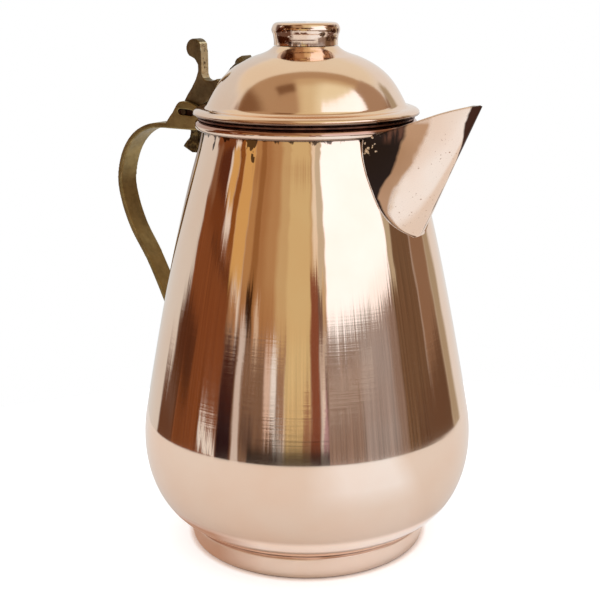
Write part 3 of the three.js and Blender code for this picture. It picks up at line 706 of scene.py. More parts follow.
# The handle.
# One brass casting: a flat strap from a level bar at the neck down to the belly, the forked
# head for the hinge, a plate riveted against the wall and a small pendant below the bar. The
# brass has gone olive brown, with brighter metal where hands rub it.
HANDLE_HALF = 5.5
HANDLE_THICKNESS = 2.2
BAR_TOP = 176.2
BAR_UNDERSIDE = 173.9
HINGE = (59.5, 181.4)
STRAP_KNOTS = [
    (56, 176.2), (68, 176.2), (79.2, 175.2), (87.9, 170.8), (94.6, 162.4), (98.2, 149.5), (97, 140),
    (92.2, 127.2), (84.2, 114.4), (76.6, 99.6), (71.7, 88.6), (69.3, 81.5), (68.7, 76.5), (69.6, 72),
    (70.9, 66), (71.9, 60),
]


def slab(name, outline, half_width):
    """A side outline of points in millimetres, made a plate across the plane of symmetry."""
    points = [at(radius, height, -half_width) for radius, height in outline]
    return draw_solid(name, points, (0, 2 * half_width * MM, 0))


def through(knots, steps_each):
    """A smooth curve through knots, with its speed set by their spacing."""
    points = [Vector(p) for p in knots]
    points = [points[0] * 2 - points[1], *points, points[-1] * 2 - points[-2]]
    curve = []
    for p0, p1, p2, p3 in zip(points, points[1:], points[2:], points[3:]):
        d1, d2, d3 = (math.sqrt((b - a).length) for a, b in ((p0, p1), (p1, p2), (p2, p3)))
        m1 = (p2 - p1) + ((p1 - p0) / d1 - (p2 - p0) / (d1 + d2)) * d2
        m2 = (p2 - p1) + ((p3 - p2) / d3 - (p3 - p1) / (d2 + d3)) * d2
        for i in range(steps_each):
            t = i / steps_each
            h1 = 2 * t**3 - 3 * t**2 + 1
            h2 = t**3 - 2 * t**2 + t
            h3 = -2 * t**3 + 3 * t**2
            h4 = t**3 - t**2
            curve.append(tuple(p1 * h1 + m1 * h2 + p2 * h3 + m2 * h4))
    return [*curve, tuple(points[-2])]


def mirrored(outline):
    """The handle's side of the jug, from an outline given with outward radii."""
    return [(-radius, height) for radius, height in outline]


def strap_ribbon(name, outline, half_width_at, thickness, sheets=6):
    """A band along an outline: the line is drawn out sideways, tapered and thickened."""
    side = mirrored(outline)
    piece = draw_line(name, [at(radius, height, -1) for radius, height in side])
    for _ in range(sheets):
        bpy.ops.mesh.extrude_edges_move(TRANSFORM_OT_translate={"value": (0, 2 * MM / sheets, 0)})
    bpy.ops.object.mode_set(mode="OBJECT")
    for corner in piece.data.vertices:
        place = corner.co - AXIS
        corner.co.y *= half_width_at(-place.x / MM, place.z / MM)
    select_only(piece)
    bpy.ops.object.mode_set(mode="EDIT")
    finish_mesh()
    thicken(piece, thickness)
    return piece


def strap_half_width(radius, height):
    """Full width at the bend, a little less on the sweep, and a rounded tongue on the belly."""
    taper = 5.0 + 0.5 * min(max((height - 110) / 50, 0), 1)
    from_end = height - 60
    if from_end < 5:
        return math.sqrt(max(25 - (5 - from_end) ** 2, 0.3))
    return taper


strap = strap_ribbon("strap", through(STRAP_KNOTS, 6), strap_half_width, HANDLE_THICKNESS)

# The head, with the gap of its fork and the slots in the faces of its lugs.
HEAD_OUTLINE = [
    (69.2, BAR_TOP), (67.6, 178.4), (65.4, 180.9), (63.9, 183.1), (62.8, 184.7), (61.6, 185.7),
    (60.1, 186.1), (57.5, 186), (54.9, 185.3), (52.6, 184.4), (50.7, 183), (50.2, 182.2), (50.2, 177),
    (49.2, BAR_TOP), (40, BAR_TOP), (40, BAR_UNDERSIDE), (69.2, BAR_UNDERSIDE),
]
FORK_OUTLINE = [(73, 178), (73, 192), (46, 192), (46, 178)]
FORK_HALF = 2.95
SLOT_RADIUS = 1.3
SLOT_DEPTH = 0.95
head = slab("head", mirrored(HEAD_OUTLINE), HANDLE_HALF)
cut_out(head, slab("fork_gap", mirrored(FORK_OUTLINE), FORK_HALF))
slot_shape = arc((60.9, 181.5), SLOT_RADIUS, -90, 90, 8) + arc((55.1, 181.2), SLOT_RADIUS, 90, 270, 8)
for side in (-1, 1):
    slot_cut = slab("slot_cut", mirrored(slot_shape), SLOT_DEPTH)
    slot_cut.data.transform(Matrix.Translation((0, side * HANDLE_HALF * MM, 0)))
    cut_out(head, slot_cut)

# The plate against the wall and the pendant below the bar.
PLATE_OUTLINE = [(38, 161), (48.7, 161), (46.3, 174.9), (38, 174.9)]
PENDANT_OUTLINE = [
    (57.2, 174.9), (56.7, 173), (57.4, 170.4), (59.2, 168.8), (61, 166.5), (58.4, 165.1), (56.2, 164),
    (53, 164.1), (51.9, 166.5), (52.6, 170), (52.8, 174.9),
]
PENDANT_HALF = 4
plate = slab("plate", mirrored(PLATE_OUTLINE), HANDLE_HALF)
pendant = slab("pendant", mirrored(PENDANT_OUTLINE), PENDANT_HALF)


def cast_together(name, pieces, voxel, rounding):
    """Joins overlapping shapes into one skin and softens its edges, as a casting has them."""
    select_only(*pieces)
    bpy.ops.object.join()
    casting = bpy.context.object
    casting.name = name
    skin = casting.modifiers.new("skin", "REMESH")
    skin.mode = "VOXEL"
    skin.voxel_size = voxel * MM
    finish_modifier(casting, skin)
    soften = casting.modifiers.new("soften", "SMOOTH")
    soften.factor = 0.5
    soften.iterations = rounding
    finish_modifier(casting, soften)
    return casting


def seat_against(piece, outline, bottom, top):
    """Cuts a piece to the surface of a spun one, whose outline is given."""
    closed = [(0, bottom), *outline, (0, top)]
    cutter = spin_piece("seat", closed, steps=ROUND_STEPS)
    cut_out(piece, cutter)


SEAT_GAP = 0.08
handle = cast_together("handle", [strap, plate, pendant, head], voxel=0.36, rounding=3)
seat_line = [(r + SEAT_GAP, z) for r, z in bezier(BELLY_CURVE, 20)[6:] + bezier(NECK_CURVE, 30)[1:]]
bead_outside = [(43.6, 177.6), *arc(BEAD_CENTRE, BEAD_RADIUS + 0.1, -60, 90, 8)]
seat_against(handle, seat_line + bead_outside, bottom=30, top=181.8)
smooth(handle, 40)


BRASS_HIGHLIGHT = (0.97, 0.87, 0.60, 1)
RECESS_SHADE = (0.035, 0.014, 0.008, 1)
MOTTLED_BRASS = (0.07, 0.045, 0.02, 1)
BOX_EDGE = 0.075


def in_box(tree, place, low, high):
    """1 inside a box given in millimetres from the axis, mirrored across the jug's plane."""
    parts = add_node(tree, "SeparateXYZ", {0: place})
    sides = (parts.outputs["X"], calculate(tree, "ABSOLUTE", parts.outputs["Y"]), parts.outputs["Z"])
    inside = 1.0
    for value, start, end in zip(sides, low, high):
        side = band(tree, value, (start - BOX_EDGE) * MM, (end + BOX_EDGE) * MM, BOX_EDGE * MM)
        inside = product(tree, inside, side)
    return inside


NOWHERE = ((-100, 0, 0), (-99, 1, 1))


def aged_brass(name, roughness, colours, shade_box=NOWHERE, mottled_box=NOWHERE, highlight_box=NOWHERE):
    """Cast brass gone brown: patchy, grainy, brighter on its edges, with painted shade in corners and in a
    box, mottled in a box, and a painted highlight in a box on faces towards the spout.
    """
    made, tree, shader, place = new_material(name)
    dark, middle, bright = colours
    patches = spread(tree, noise(tree, place, 110.0, 7.0, 0.65), 0.3, 0.7)
    grain = noise(tree, place, 700.0, 4.0, 0.65)
    edge = add_node(tree, "Bevel", {"Radius": 0.5 * MM}, samples=4).outputs["Normal"]
    normal = add_node(tree, "NewGeometry").outputs["Normal"]
    flatness = add_node(tree, "VectorMath", {0: edge, 1: normal}, operation="DOT_PRODUCT").outputs["Value"]
    wear = spread(tree, calculate(tree, "SUBTRACT", 1.0, flatness), 0.01, 0.12)
    facing = add_node(tree, "SeparateXYZ", {0: normal}).outputs["X"]
    # A painted highlight on faces turned towards the spout, inside the highlight box.
    painted_highlight = product(
        tree, in_box(tree, place, *highlight_box), spread(tree, facing, 0.5, 0.8),
        spread(tree, grain, 0.34, 0.44),
    )
    mottled = product(tree, in_box(tree, place, *mottled_box), spread(tree, grain, 0.58, 0.46, 0.45, 1.0))
    colour = layered(tree, blend_colours(tree, patches, dark, middle), [
        (product(tree, wear, spread(tree, noise(tree, place, 240.0), 0.4, 0.7)), bright),
        (painted_highlight, BRASS_HIGHLIGHT),
        (mottled, MOTTLED_BRASS),
        # Darker deep in corners and inside the shade box: painted shade in recesses.
        (calculate(tree, "MAXIMUM", crevice_dirt_and_shade(tree), in_box(tree, place, *shade_box)), RECESS_SHADE),
    ])
    lump_height = product(tree, noise(tree, place, 150.0, 2.0), spread(tree, mottled, 0, 0.4, 1, 4))
    lumps = bump(tree, lump_height, 0.25 * MM)
    fill_sockets(tree, shader, {
        "Base Color": colour,
        "Roughness": spread(tree, grain, 0.3, 0.7, roughness * 0.8, roughness * 1.3),
        "Normal": bump(tree, grain, 0.05 * MM, lumps),
    })
    return made


HANDLE_COLOURS = ((0.22, 0.155, 0.06, 1), (0.40, 0.285, 0.115, 1), (0.75, 0.58, 0.30, 1))
# Its shade box darkens the slots in the faces of the lugs: painted shade.
handle_brass = aged_brass(
    "handle_brass", 0.4, HANDLE_COLOURS, shade_box=((-62.5, 3.2, 179.9), (-53.3, 5.2, 182.9)),
    mottled_box=((-62, 0, 160), (-44, 6, 173.8)),
)
dress(handle, handle_brass, "cast_brass", "jug", "handle")

# The hinge pin.
# A brass wire through both cheeks of the fork and the lid's knuckle, its ends spread with a
# hammer.
PIN_RADIUS = 1.2
PIN_LENGTH = 9.8
PIN_BEVEL = 0.35
PIN_SPREAD = 1.04
PIN_COLOURS = ((0.06, 0.04, 0.02, 1), (0.14, 0.09, 0.045, 1), (0.3, 0.22, 0.12, 1))
bpy.ops.object.select_all(action="DESELECT")
bpy.ops.mesh.primitive_cylinder_add(
    vertices=32, radius=PIN_RADIUS * MM, depth=PIN_LENGTH * MM, location=at(-HINGE[0], HINGE[1]),
    rotation=(math.pi / 2, 0, 0),
)
pin = bpy.context.object
pin.name = "hinge_pin_peened"
bpy.ops.object.transform_apply(location=True, rotation=True, scale=True)
bpy.ops.object.mode_set(mode="EDIT")
bpy.ops.mesh.select_all(action="DESELECT")
bpy.ops.object.mode_set(mode="OBJECT")
for face in pin.data.polygons:
    face.select = abs(face.normal.y) > 0.9
bpy.ops.object.mode_set(mode="EDIT")
bpy.ops.mesh.inset(thickness=PIN_BEVEL * MM)
bpy.ops.transform.resize(value=(1, PIN_SPREAD, 1), center_override=at(-HINGE[0], HINGE[1]))
bpy.ops.object.mode_set(mode="OBJECT")
smooth(pin, 50)
# Its shade box darkens the pin's ends in the slots: painted shade.
pin_brass = aged_brass("pin_brass", 0.45, PIN_COLOURS, shade_box=((-62, 4.5, 179), (-57, 5, 184)))
dress(pin, pin_brass, "dark_brass", "jug", "hinge_pin")

# The lid.
# A copper dome spun from one sheet, with a flat crown for the knob and a rounded flange whose
# edge is turned under. It is polished like the body.
DOME_LOWER = [(41.1, 186.9), (36.7, 195.4), (33.6, 201.6), (21.3, 206.6)]
DOME_UPPER = [(21.3, 206.6), (19.4, 207.4), (15.5, 207.9), (12.9, 210.8)]
FLANGE_MIDDLE = (41.1, 184.5)
FLANGE_REACH = 5.2
FLANGE_RISE = 2.25
HEM = [(45.4, 183.75), (45.95, 183.75), (46.25, 183.95), (46.3, 184.2), (46.1, 184.45), (45.95, 184.6)]
CROWN = [(8, 210.8), (0, 210.8)]
LID_HEM_SHADE = (0.14, 0.06, 0.04, 1)
flange = [(FLANGE_REACH * c, FLANGE_RISE * s) for c, s in arc((0, 0), 1, 0, 88, 11)]
flange = [(FLANGE_MIDDLE[0] + r, FLANGE_MIDDLE[1] + z) for r, z in flange]
dome_line = bezier(DOME_LOWER, 36) + bezier(DOME_UPPER, 16)[1:]
lid = spin_piece("lid_dome", HEM + flange[1:-1] + dome_line[1:] + CROWN)
face_outwards(lid, 195)
thicken(lid, SHEET, lined=True)
smooth(lid, 40)
lid_copper = polished_copper(
    "lid_copper", mirror=0.07, satin=0.11, ring_depth=0.006, ring_zone=(180, 186, 196, 206), unevenness=0.10
)
# The flange's turned-under hem is darker: painted shade.
darken_between(lid_copper, 183.0, 184.4, 0.8, LID_HEM_SHADE)
dress(lid, lid_copper, "polished_copper", "lid", "lid_shell", lining=tin_lining)

# The collar under the lid.
# A plain copper band that drops into the mouth and centres the lid, with a narrow shoulder
# that rests on the rim.
COLLAR_OUTLINE = [
    (40.1, 175.2), (40.4, 175), (40.75, 175), (41, 175.3), (41, 181.7), (41.25, 182), (44.2, 182),
    (44.4, 182.2), (44.4, 182.7), (44.2, 182.9), (41.25, 182.9), (41, 183.2), (41, 185.5), (40.1, 185.5),
]
# The band's dark browns are painted shade, because it lies in the gap under the lid's flange.
COLLAR_SHADE_BROWN = (0.30, 0.13, 0.08, 1)
COLLAR_SHADE_DARK = (0.12, 0.055, 0.04, 1)
collar = spin_piece("lid_collar_band", COLLAR_OUTLINE, closed=True)
smooth(collar, 40)
collar_copper, tree, *_ = blotchy_metal(
    "collar_copper", (300, 300, 300), 4.0, (0.35, 0.65), (COLLAR_SHADE_BROWN, COLLAR_SHADE_DARK), (0.35, 0.5)
)
# Darker deep in corners: painted shade, with dirt in it.
lay_over(collar_copper, crevice_dirt_and_shade(tree), SHADE_AND_GRIME)
dress(collar, collar_copper, "satin_copper", "lid", "lid_collar")

# The knob.
# A hollow copper drum spun with a thicker lip round its flat top, soldered on the crown. Brown
# painted reflections lie on it, mostly under its lip.
KNOB_OUTLINE = [
    (12.95, 211.1), (12.9, 212.1), (12.98, 213.2), (13.1, 214.2), (13.2, 215), (13.5, 215.7), (13.75, 216.4),
    (13.85, 217.1), (13.75, 217.8), (13.5, 218.5), (13.1, 219.2), (12.5, 219.7), (11.7, 219.95), (10.6, 220),
    (0, 220),
]
KNOB_WALL = 1.0
KNOB_REFLECTION_BROWN = (0.17, 0.07, 0.04, 1)
# Left and right bearing in degrees, bottom and top in millimetres, and how readily clean spots open.
KNOB_REFLECTIONS = [
    (-60, -24, 212.0, 219.2, 0.60), (-28, 16, 213.2, 213.6, 0.60), (-26, 12, 217.7, 218.2, 0.62),
    (38, 72, 213.0, 219.2, 0.52), (-20, 5, 215.6, 216.5, 0.50),
]
knob = spin_piece("lid_knob_drum", KNOB_OUTLINE, steps=96)
face_outwards(knob, 213.5)
thicken(knob, KNOB_WALL)
smooth(knob, 40)
knob_copper = polished_copper(
    "knob_copper", mirror=0.06, satin=0.12, ring_depth=0.008, ring_zone=(210, 212, 216, 218), unevenness=0.06
)
tree = knob_copper.node_tree
place = place_from_axis(tree)
height = height_of(tree, place)
mottle = stretched_noise(tree, place, (420, 420, 700), 3.0, 0.6)


def bearing_of(tree, place):
    """The angle of a place round the jug's axis, from its front on the spout's side."""
    turned = add_node(tree, "VectorRotate", {"Vector": place, "Angle": -VIEW_TURN}, rotation_type="Z_AXIS")
    parts = add_node(tree, "SeparateXYZ", {0: turned.outputs[0]})
    ahead = calculate(tree, "MULTIPLY", parts.outputs["Y"], -1.0)
    return calculate(tree, "ARCTAN2", parts.outputs["X"], ahead)


bearing = bearing_of(tree, place)
reflection_share = 0.0
# Brown painted reflections, each in a band of bearing and height.
for left, right, bottom, top, gap in KNOB_REFLECTIONS:
    across = band(tree, bearing, math.radians(left), math.radians(right), math.radians(3))
    upright = band(tree, height, bottom * MM, top * MM, 0.15 * MM)
    spots = spread(tree, mottle, gap + 0.05, gap - 0.03)
    reflection_share = calculate(tree, "MAXIMUM", reflection_share, product(tree, across, upright, spots))
lay_over(knob_copper, reflection_share, KNOB_REFLECTION_BROWN)
dress(knob, knob_copper, "polished_copper", "lid", "lid_knob")

# The thumb lift.
# A darker brass casting on the lid: a knuckle on the pin, a web over the flange, an upright
# stem that ends in a scroll for the thumb, and a strap along the dome with a leaf at its end.
LIFT_HALF = 2.55
STEM = [
    (61.4, 184.6), (60.8, 186), (59, 188.8), (56.8, 191.6), (54.4, 195.4), (53, 199), (53, 201.6),
    (54.6, 204),
]
WEB = [
    (50.9, 206.5), (50.9, 198), (50.3, 196), (48.8, 195.1), (45.2, 195.1), (43.2, 196), (36, 190), (40, 184),
    (47, 187), (51.5, 184.6), (55, 182.6),
]
KNUCKLE_RADIUS = 2.9
SCROLL_MIDDLE = (54.9, 208.4)
SCROLL_RADIUS = 4.1
LEAF_TIP = 27.4
STRAP_HEIGHT = 3.2
knuckle = arc(HINGE, KNUCKLE_RADIUS, -150, 20, 14)
scroll = arc(SCROLL_MIDDLE, SCROLL_RADIUS, -50, 150, 14)
lift_block = slab("lift_block", mirrored(knuckle + STEM + scroll + WEB), LIFT_HALF)
lift_path = [(r, z) for r, z in bezier(DOME_LOWER, 30) if r > LEAF_TIP - 0.4]


def above_dome(height):
    """The dome's line moved outwards by a height."""
    line = []
    for i, (r, z) in enumerate(lift_path):
        r0, z0 = lift_path[max(i - 1, 0)]
        r1, z1 = lift_path[min(i + 1, len(lift_path) - 1)]
        run = math.hypot(r1 - r0, z1 - z0)
        line.append((r + (z1 - z0) / run * height, z - (r1 - r0) / run * height))
    return line


LEAF_WIDTHS = [
    (0, 0.5), (0.7, 1.6), (2, 3.4), (3.8, 4.5), (5.4, 3.6), (6.6, 2), (7.2, 2), (8.6, 2.6), (40, 2.6),
]


def leaf_half_width(radius, height):
    """The strap's half width, with the leaf at its end on the dome."""
    return between(LEAF_WIDTHS, radius - LEAF_TIP)


lift_strap = strap_ribbon("lift_strap", above_dome(STRAP_HEIGHT), leaf_half_width, 3.4, sheets=8)
lift = cast_together("thumb_lift_cast", [lift_strap, lift_block], voxel=0.3, rounding=3)
lid_seat = [(r + 0.06, z + 0.03) for r, z in flange[:-1] + dome_line[1:]]
seat_against(lift, [(46.36, 183.4), *lid_seat], bottom=183.4, top=210.9)
smooth(lift, 40)
LIFT_COLOURS = ((0.11, 0.08, 0.04, 1), (0.30, 0.22, 0.11, 1), (0.78, 0.64, 0.40, 1))
# Its shade box darkens the knuckle inside the fork: painted shade. Its highlight box lays a painted highlight
# on the stem and scroll, on the face towards the spout.
lift_brass = aged_brass(
    "lift_brass", 0.38, LIFT_COLOURS, shade_box=((-63, 0, 178), (-57, 3, 183)),
    highlight_box=((-57, 0, 196.2), (-48, 3, 211)),
)
dress(lift, lift_brass, "dark_brass", "lid", "thumb_lift")

# The rivets.
# Short copper rivets with hammered round heads: two through the plate at the neck, two through
# the strap's foot on the belly and two through the lift's strap on the dome. Each is modelled
# once for its length, and the far head is spread against the inside of the sheet.
RIVET_SHANK = 1.1
RIVET_HEAD = 1.85


def rivet(name, grip):
    """A rivet standing on the jug's axis with its sheet at height 0."""
    tail = -SHEET - 0.02
    outline = [
        (0, tail - 0.85), (0.9, tail - 0.8), (1.5, tail - 0.5), (1.8, tail - 0.1), (1.75, tail),
        (RIVET_SHANK, tail), (RIVET_SHANK, grip), (RIVET_HEAD, grip + 0.02), (RIVET_HEAD, grip + 0.2),
        (1.55, grip + 0.55), (1.05, grip + 0.8), (0.5, grip + 0.92), (0, grip + 0.95),
    ]
    piece = spin_piece(name, outline, steps=28)
    smooth(piece, 45)
    return piece


def outline_seat(line, test):
    """The place of the first piece of an outline past a test, and its tilt from level."""
    for (r0, z0), (r1, z1) in zip(line, line[1:]):
        if test(r1, z1):
            return r1, z1, math.atan2(r0 - r1, z1 - z0)
    raise ValueError("no such place on the outline")


rivet_copper = polished_copper(
    "rivet_copper", mirror=0.22, satin=0.26, ring_depth=0.01, ring_zone=(0, 50, 200, 230), unevenness=0.3
)
fine_wall = bezier(BELLY_CURVE, 200) + bezier(NECK_CURVE, 400)[1:]
fine_dome = bezier(DOME_LOWER, 300)
RIVETS = [
    ("tail_rivet_upper", fine_wall, lambda r, z: z >= 170.4, 2.6, "jug"),
    ("tail_rivet_lower", fine_wall, lambda r, z: z >= 164.4, 2.6, "jug"),
    ("foot_rivet_upper", fine_wall, lambda r, z: z >= 76.5, 2.4, "jug"),
    ("foot_rivet_lower", fine_wall, lambda r, z: z >= 67.5, 2.4, "jug"),
    ("lift_rivet_lower", fine_dome, lambda r, z: r <= 35.7, 3.25, "lid"),
    ("lift_rivet_upper", fine_dome, lambda r, z: r <= 30.2, 3.25, "lid"),
]
for node, line, test, grip, body_name in RIVETS:
    r, z, tilt = outline_seat(line, test)
    piece = rivet(node + "_hammered", grip)
    stand = Matrix.Translation(at(-r, z)) @ Matrix.Rotation(-math.pi / 2 + tilt, 4, "Y")
    piece.data.transform(stand @ Matrix.Translation(-AXIS))
    dress(piece, rivet_copper, "rivet_copper", body_name, node)

# The table top.
# An oval white top that reaches further towards the camera than behind the jug; its edge is
# what the belly mirrors as the border between its pale lower part and the darker room.
TABLE_AHEAD = 0.38
TABLE_RIGHT = 0.025
TABLE_DROP = 0.2
TABLE_HALVES = (0.495, 0.58, 1)
TABLE_WHITE = (0.84, 0.84, 0.84, 1)
WHITE_GLOW = (0.52, 0.52, 0.52, 1)
FOOT_SHADOW_GLOW = (0.30, 0.19, 0.14, 1)
DAYLIGHT = (0.13, 0.25, 0.38, 1)
GATHERED_LIGHT = (0.30, 0.36, 0.42, 1)
SHADE_BROWN = (0.50, 0.32, 0.24, 1)
UNLIT = (0, 0, 0, 1)
towards_camera = Vector((math.sin(VIEW_TURN), -math.cos(VIEW_TURN), 0))
rightwards = Vector((math.cos(VIEW_TURN), math.sin(VIEW_TURN), 0))
table_middle = AXIS + towards_camera * TABLE_AHEAD + rightwards * TABLE_RIGHT
table_middle -= Vector((0, 0, TABLE_DROP * MM))
bpy.ops.object.select_all(action="DESELECT")
bpy.ops.mesh.primitive_circle_add(
    vertices=128, radius=1, fill_type="NGON", location=table_middle, rotation=(0, 0, VIEW_TURN)
)
table = bpy.context.object
table.name = "table_top"
table.scale = TABLE_HALVES
bpy.ops.object.transform_apply(location=True, rotation=True, scale=True)
table_white, tree, shader, place = new_material("table_white", metallic=0.0)
fill_sockets(tree, shader, {"Base Color": TABLE_WHITE, "Roughness": 0.7, "Specular IOR Level": 0.2})
rays = add_node(tree, "LightPath")
bearing = bearing_of(tree, place)
distance = add_node(tree, "VectorMath", {0: place}, operation="LENGTH").outputs["Value"]


def bearing_ramp(start, end):
    return spread(tree, bearing, math.radians(start), math.radians(end))


def add_light(surface, colour, ray):
    """A surface with light of its own for one kind of ray."""
    glow = add_node(tree, "Emission", {"Color": colour, "Strength": rays.outputs[ray]}).outputs[0]
    return add_node(tree, "AddShader", {0: surface, 1: glow}).outputs[0]


# To the camera the white is a little brighter, with a painted brown shadow right at the foot.
at_foot = spread(tree, distance, 53.2 * MM, 51.4 * MM)
lit = add_light(shader.outputs[0], blend_colours(tree, at_foot, WHITE_GLOW, FOOT_SHADOW_GLOW), "Is Camera Ray")
# In the metal it shows the daylight on the right, a bright place round the foot and its shadow.
further_off = spread(tree, distance, 110 * MM, 170 * MM, 0.25, 1.0)
daylit = product(tree, bearing_ramp(-2, 22), bearing_ramp(66, 52), further_off)
lit = add_light(lit, blend_colours(tree, daylit, UNLIT, DAYLIGHT), "Is Glossy Ray")
ring_end = spread(tree, distance, 67.5 * MM, 62.5 * MM)
ring = product(tree, ring_end, spread(tree, distance, 52.5 * MM, 55 * MM))
lit = add_light(lit, blend_colours(tree, ring, UNLIT, GATHERED_LIGHT), "Is Glossy Ray")
close_by = spread(tree, distance, 69 * MM, 61 * MM)
shaded = product(tree, bearing_ramp(-24, -52), close_by, rays.outputs["Is Glossy Ray"])
shade = add_node(tree, "Emission", {"Color": SHADE_BROWN, "Strength": 1.0})
under_jug = add_node(tree, "MixShader", {0: shaded, 1: lit, 2: shade.outputs[0]})
tree.links.new(under_jug.outputs[0], tree.nodes["Material Output"].inputs["Surface"])
table.data.materials.append(table_white)

# The room.
# The camera sees plain white and all surfaces are lit by plain white, while the polished metal
# mirrors a room: a bright window in front on the right, wooden furniture and golden curtains
# on the left, a brown door on the right and pale walls behind.
world = bpy.data.worlds.new("room")
bpy.context.scene.world = world
world.use_nodes = True
tree = world.node_tree
direction = add_node(tree, "TexCoord").outputs["Generated"]
turn = {"Vector": direction, "Rotation": (0, 0, -VIEW_TURN)}
turned = add_node(tree, "Mapping", turn, vector_type="VECTOR").outputs[0]
parts = add_node(tree, "SeparateXYZ", {0: turned})
ahead = calculate(tree, "MULTIPLY", parts.outputs["Y"], -1.0)
azimuth = calculate(tree, "ARCTAN2", parts.outputs["X"], ahead)
elevation = calculate(tree, "ARCSINE", parts.outputs["Z"])


def in_radians(*angles):
    return [math.radians(angle) for angle in angles]


def framed(across, up, left, right, bottom, top, softness):
    """1 inside a frame of two pairs of values, soft at its edges."""
    share = 1.0
    for value, edge, sign in ((across, left, 1), (across, right, -1), (up, bottom, 1), (up, top, -1)):
        sockets = {"Value": value, "From Min": edge - sign * softness, "From Max": edge + sign * softness}
        step = add_node(tree, "MapRange", sockets, interpolation_type="SMOOTHSTEP")
        share = product(tree, share, step.outputs["Result"])
    return share


def room_patch(colour_below, name, left, right, bottom, top, softness, colour):
    """A named, soft-edged patch of the room, between two azimuths and two elevations in degrees."""
    share = framed(azimuth, elevation, *in_radians(left, right, bottom, top, softness))
    patch = blend_colours(tree, share, colour_below, (*colour, 1))
    patch.node.label = name
    return patch


def dimmed(colour, factor):
    return add_node(tree, "VectorMath", {0: colour, "Scale": factor}, operation="SCALE").outputs[0]


# The ceiling's parts: left, right, near and far edge and softness, all in ceiling heights.
CEILING = [
    ("ceiling", -1.75, 2.2, -0.30, 9, 0.04, (0.45, 0.31, 0.185)),
    ("its dark left end", -2.4, -0.98, -0.30, 9, 0.16, (0.22, 0.115, 0.055)),
    ("beyond the beam", -0.15, 1.7, -0.02, 9, 0.07, (0.58, 0.45, 0.27)),
    ("its lit part", -0.12, 1.15, 0.22, 9, 0.12, (0.72, 0.64, 0.42)),
    ("daylight on it", 0.2, 1.1, 0.14, 2, 0.14, (0.86, 0.84, 0.62)),
    ("lamp", -0.50, -0.17, 0.13, 0.42, 0.05, (0.20, 0.105, 0.05)),
]
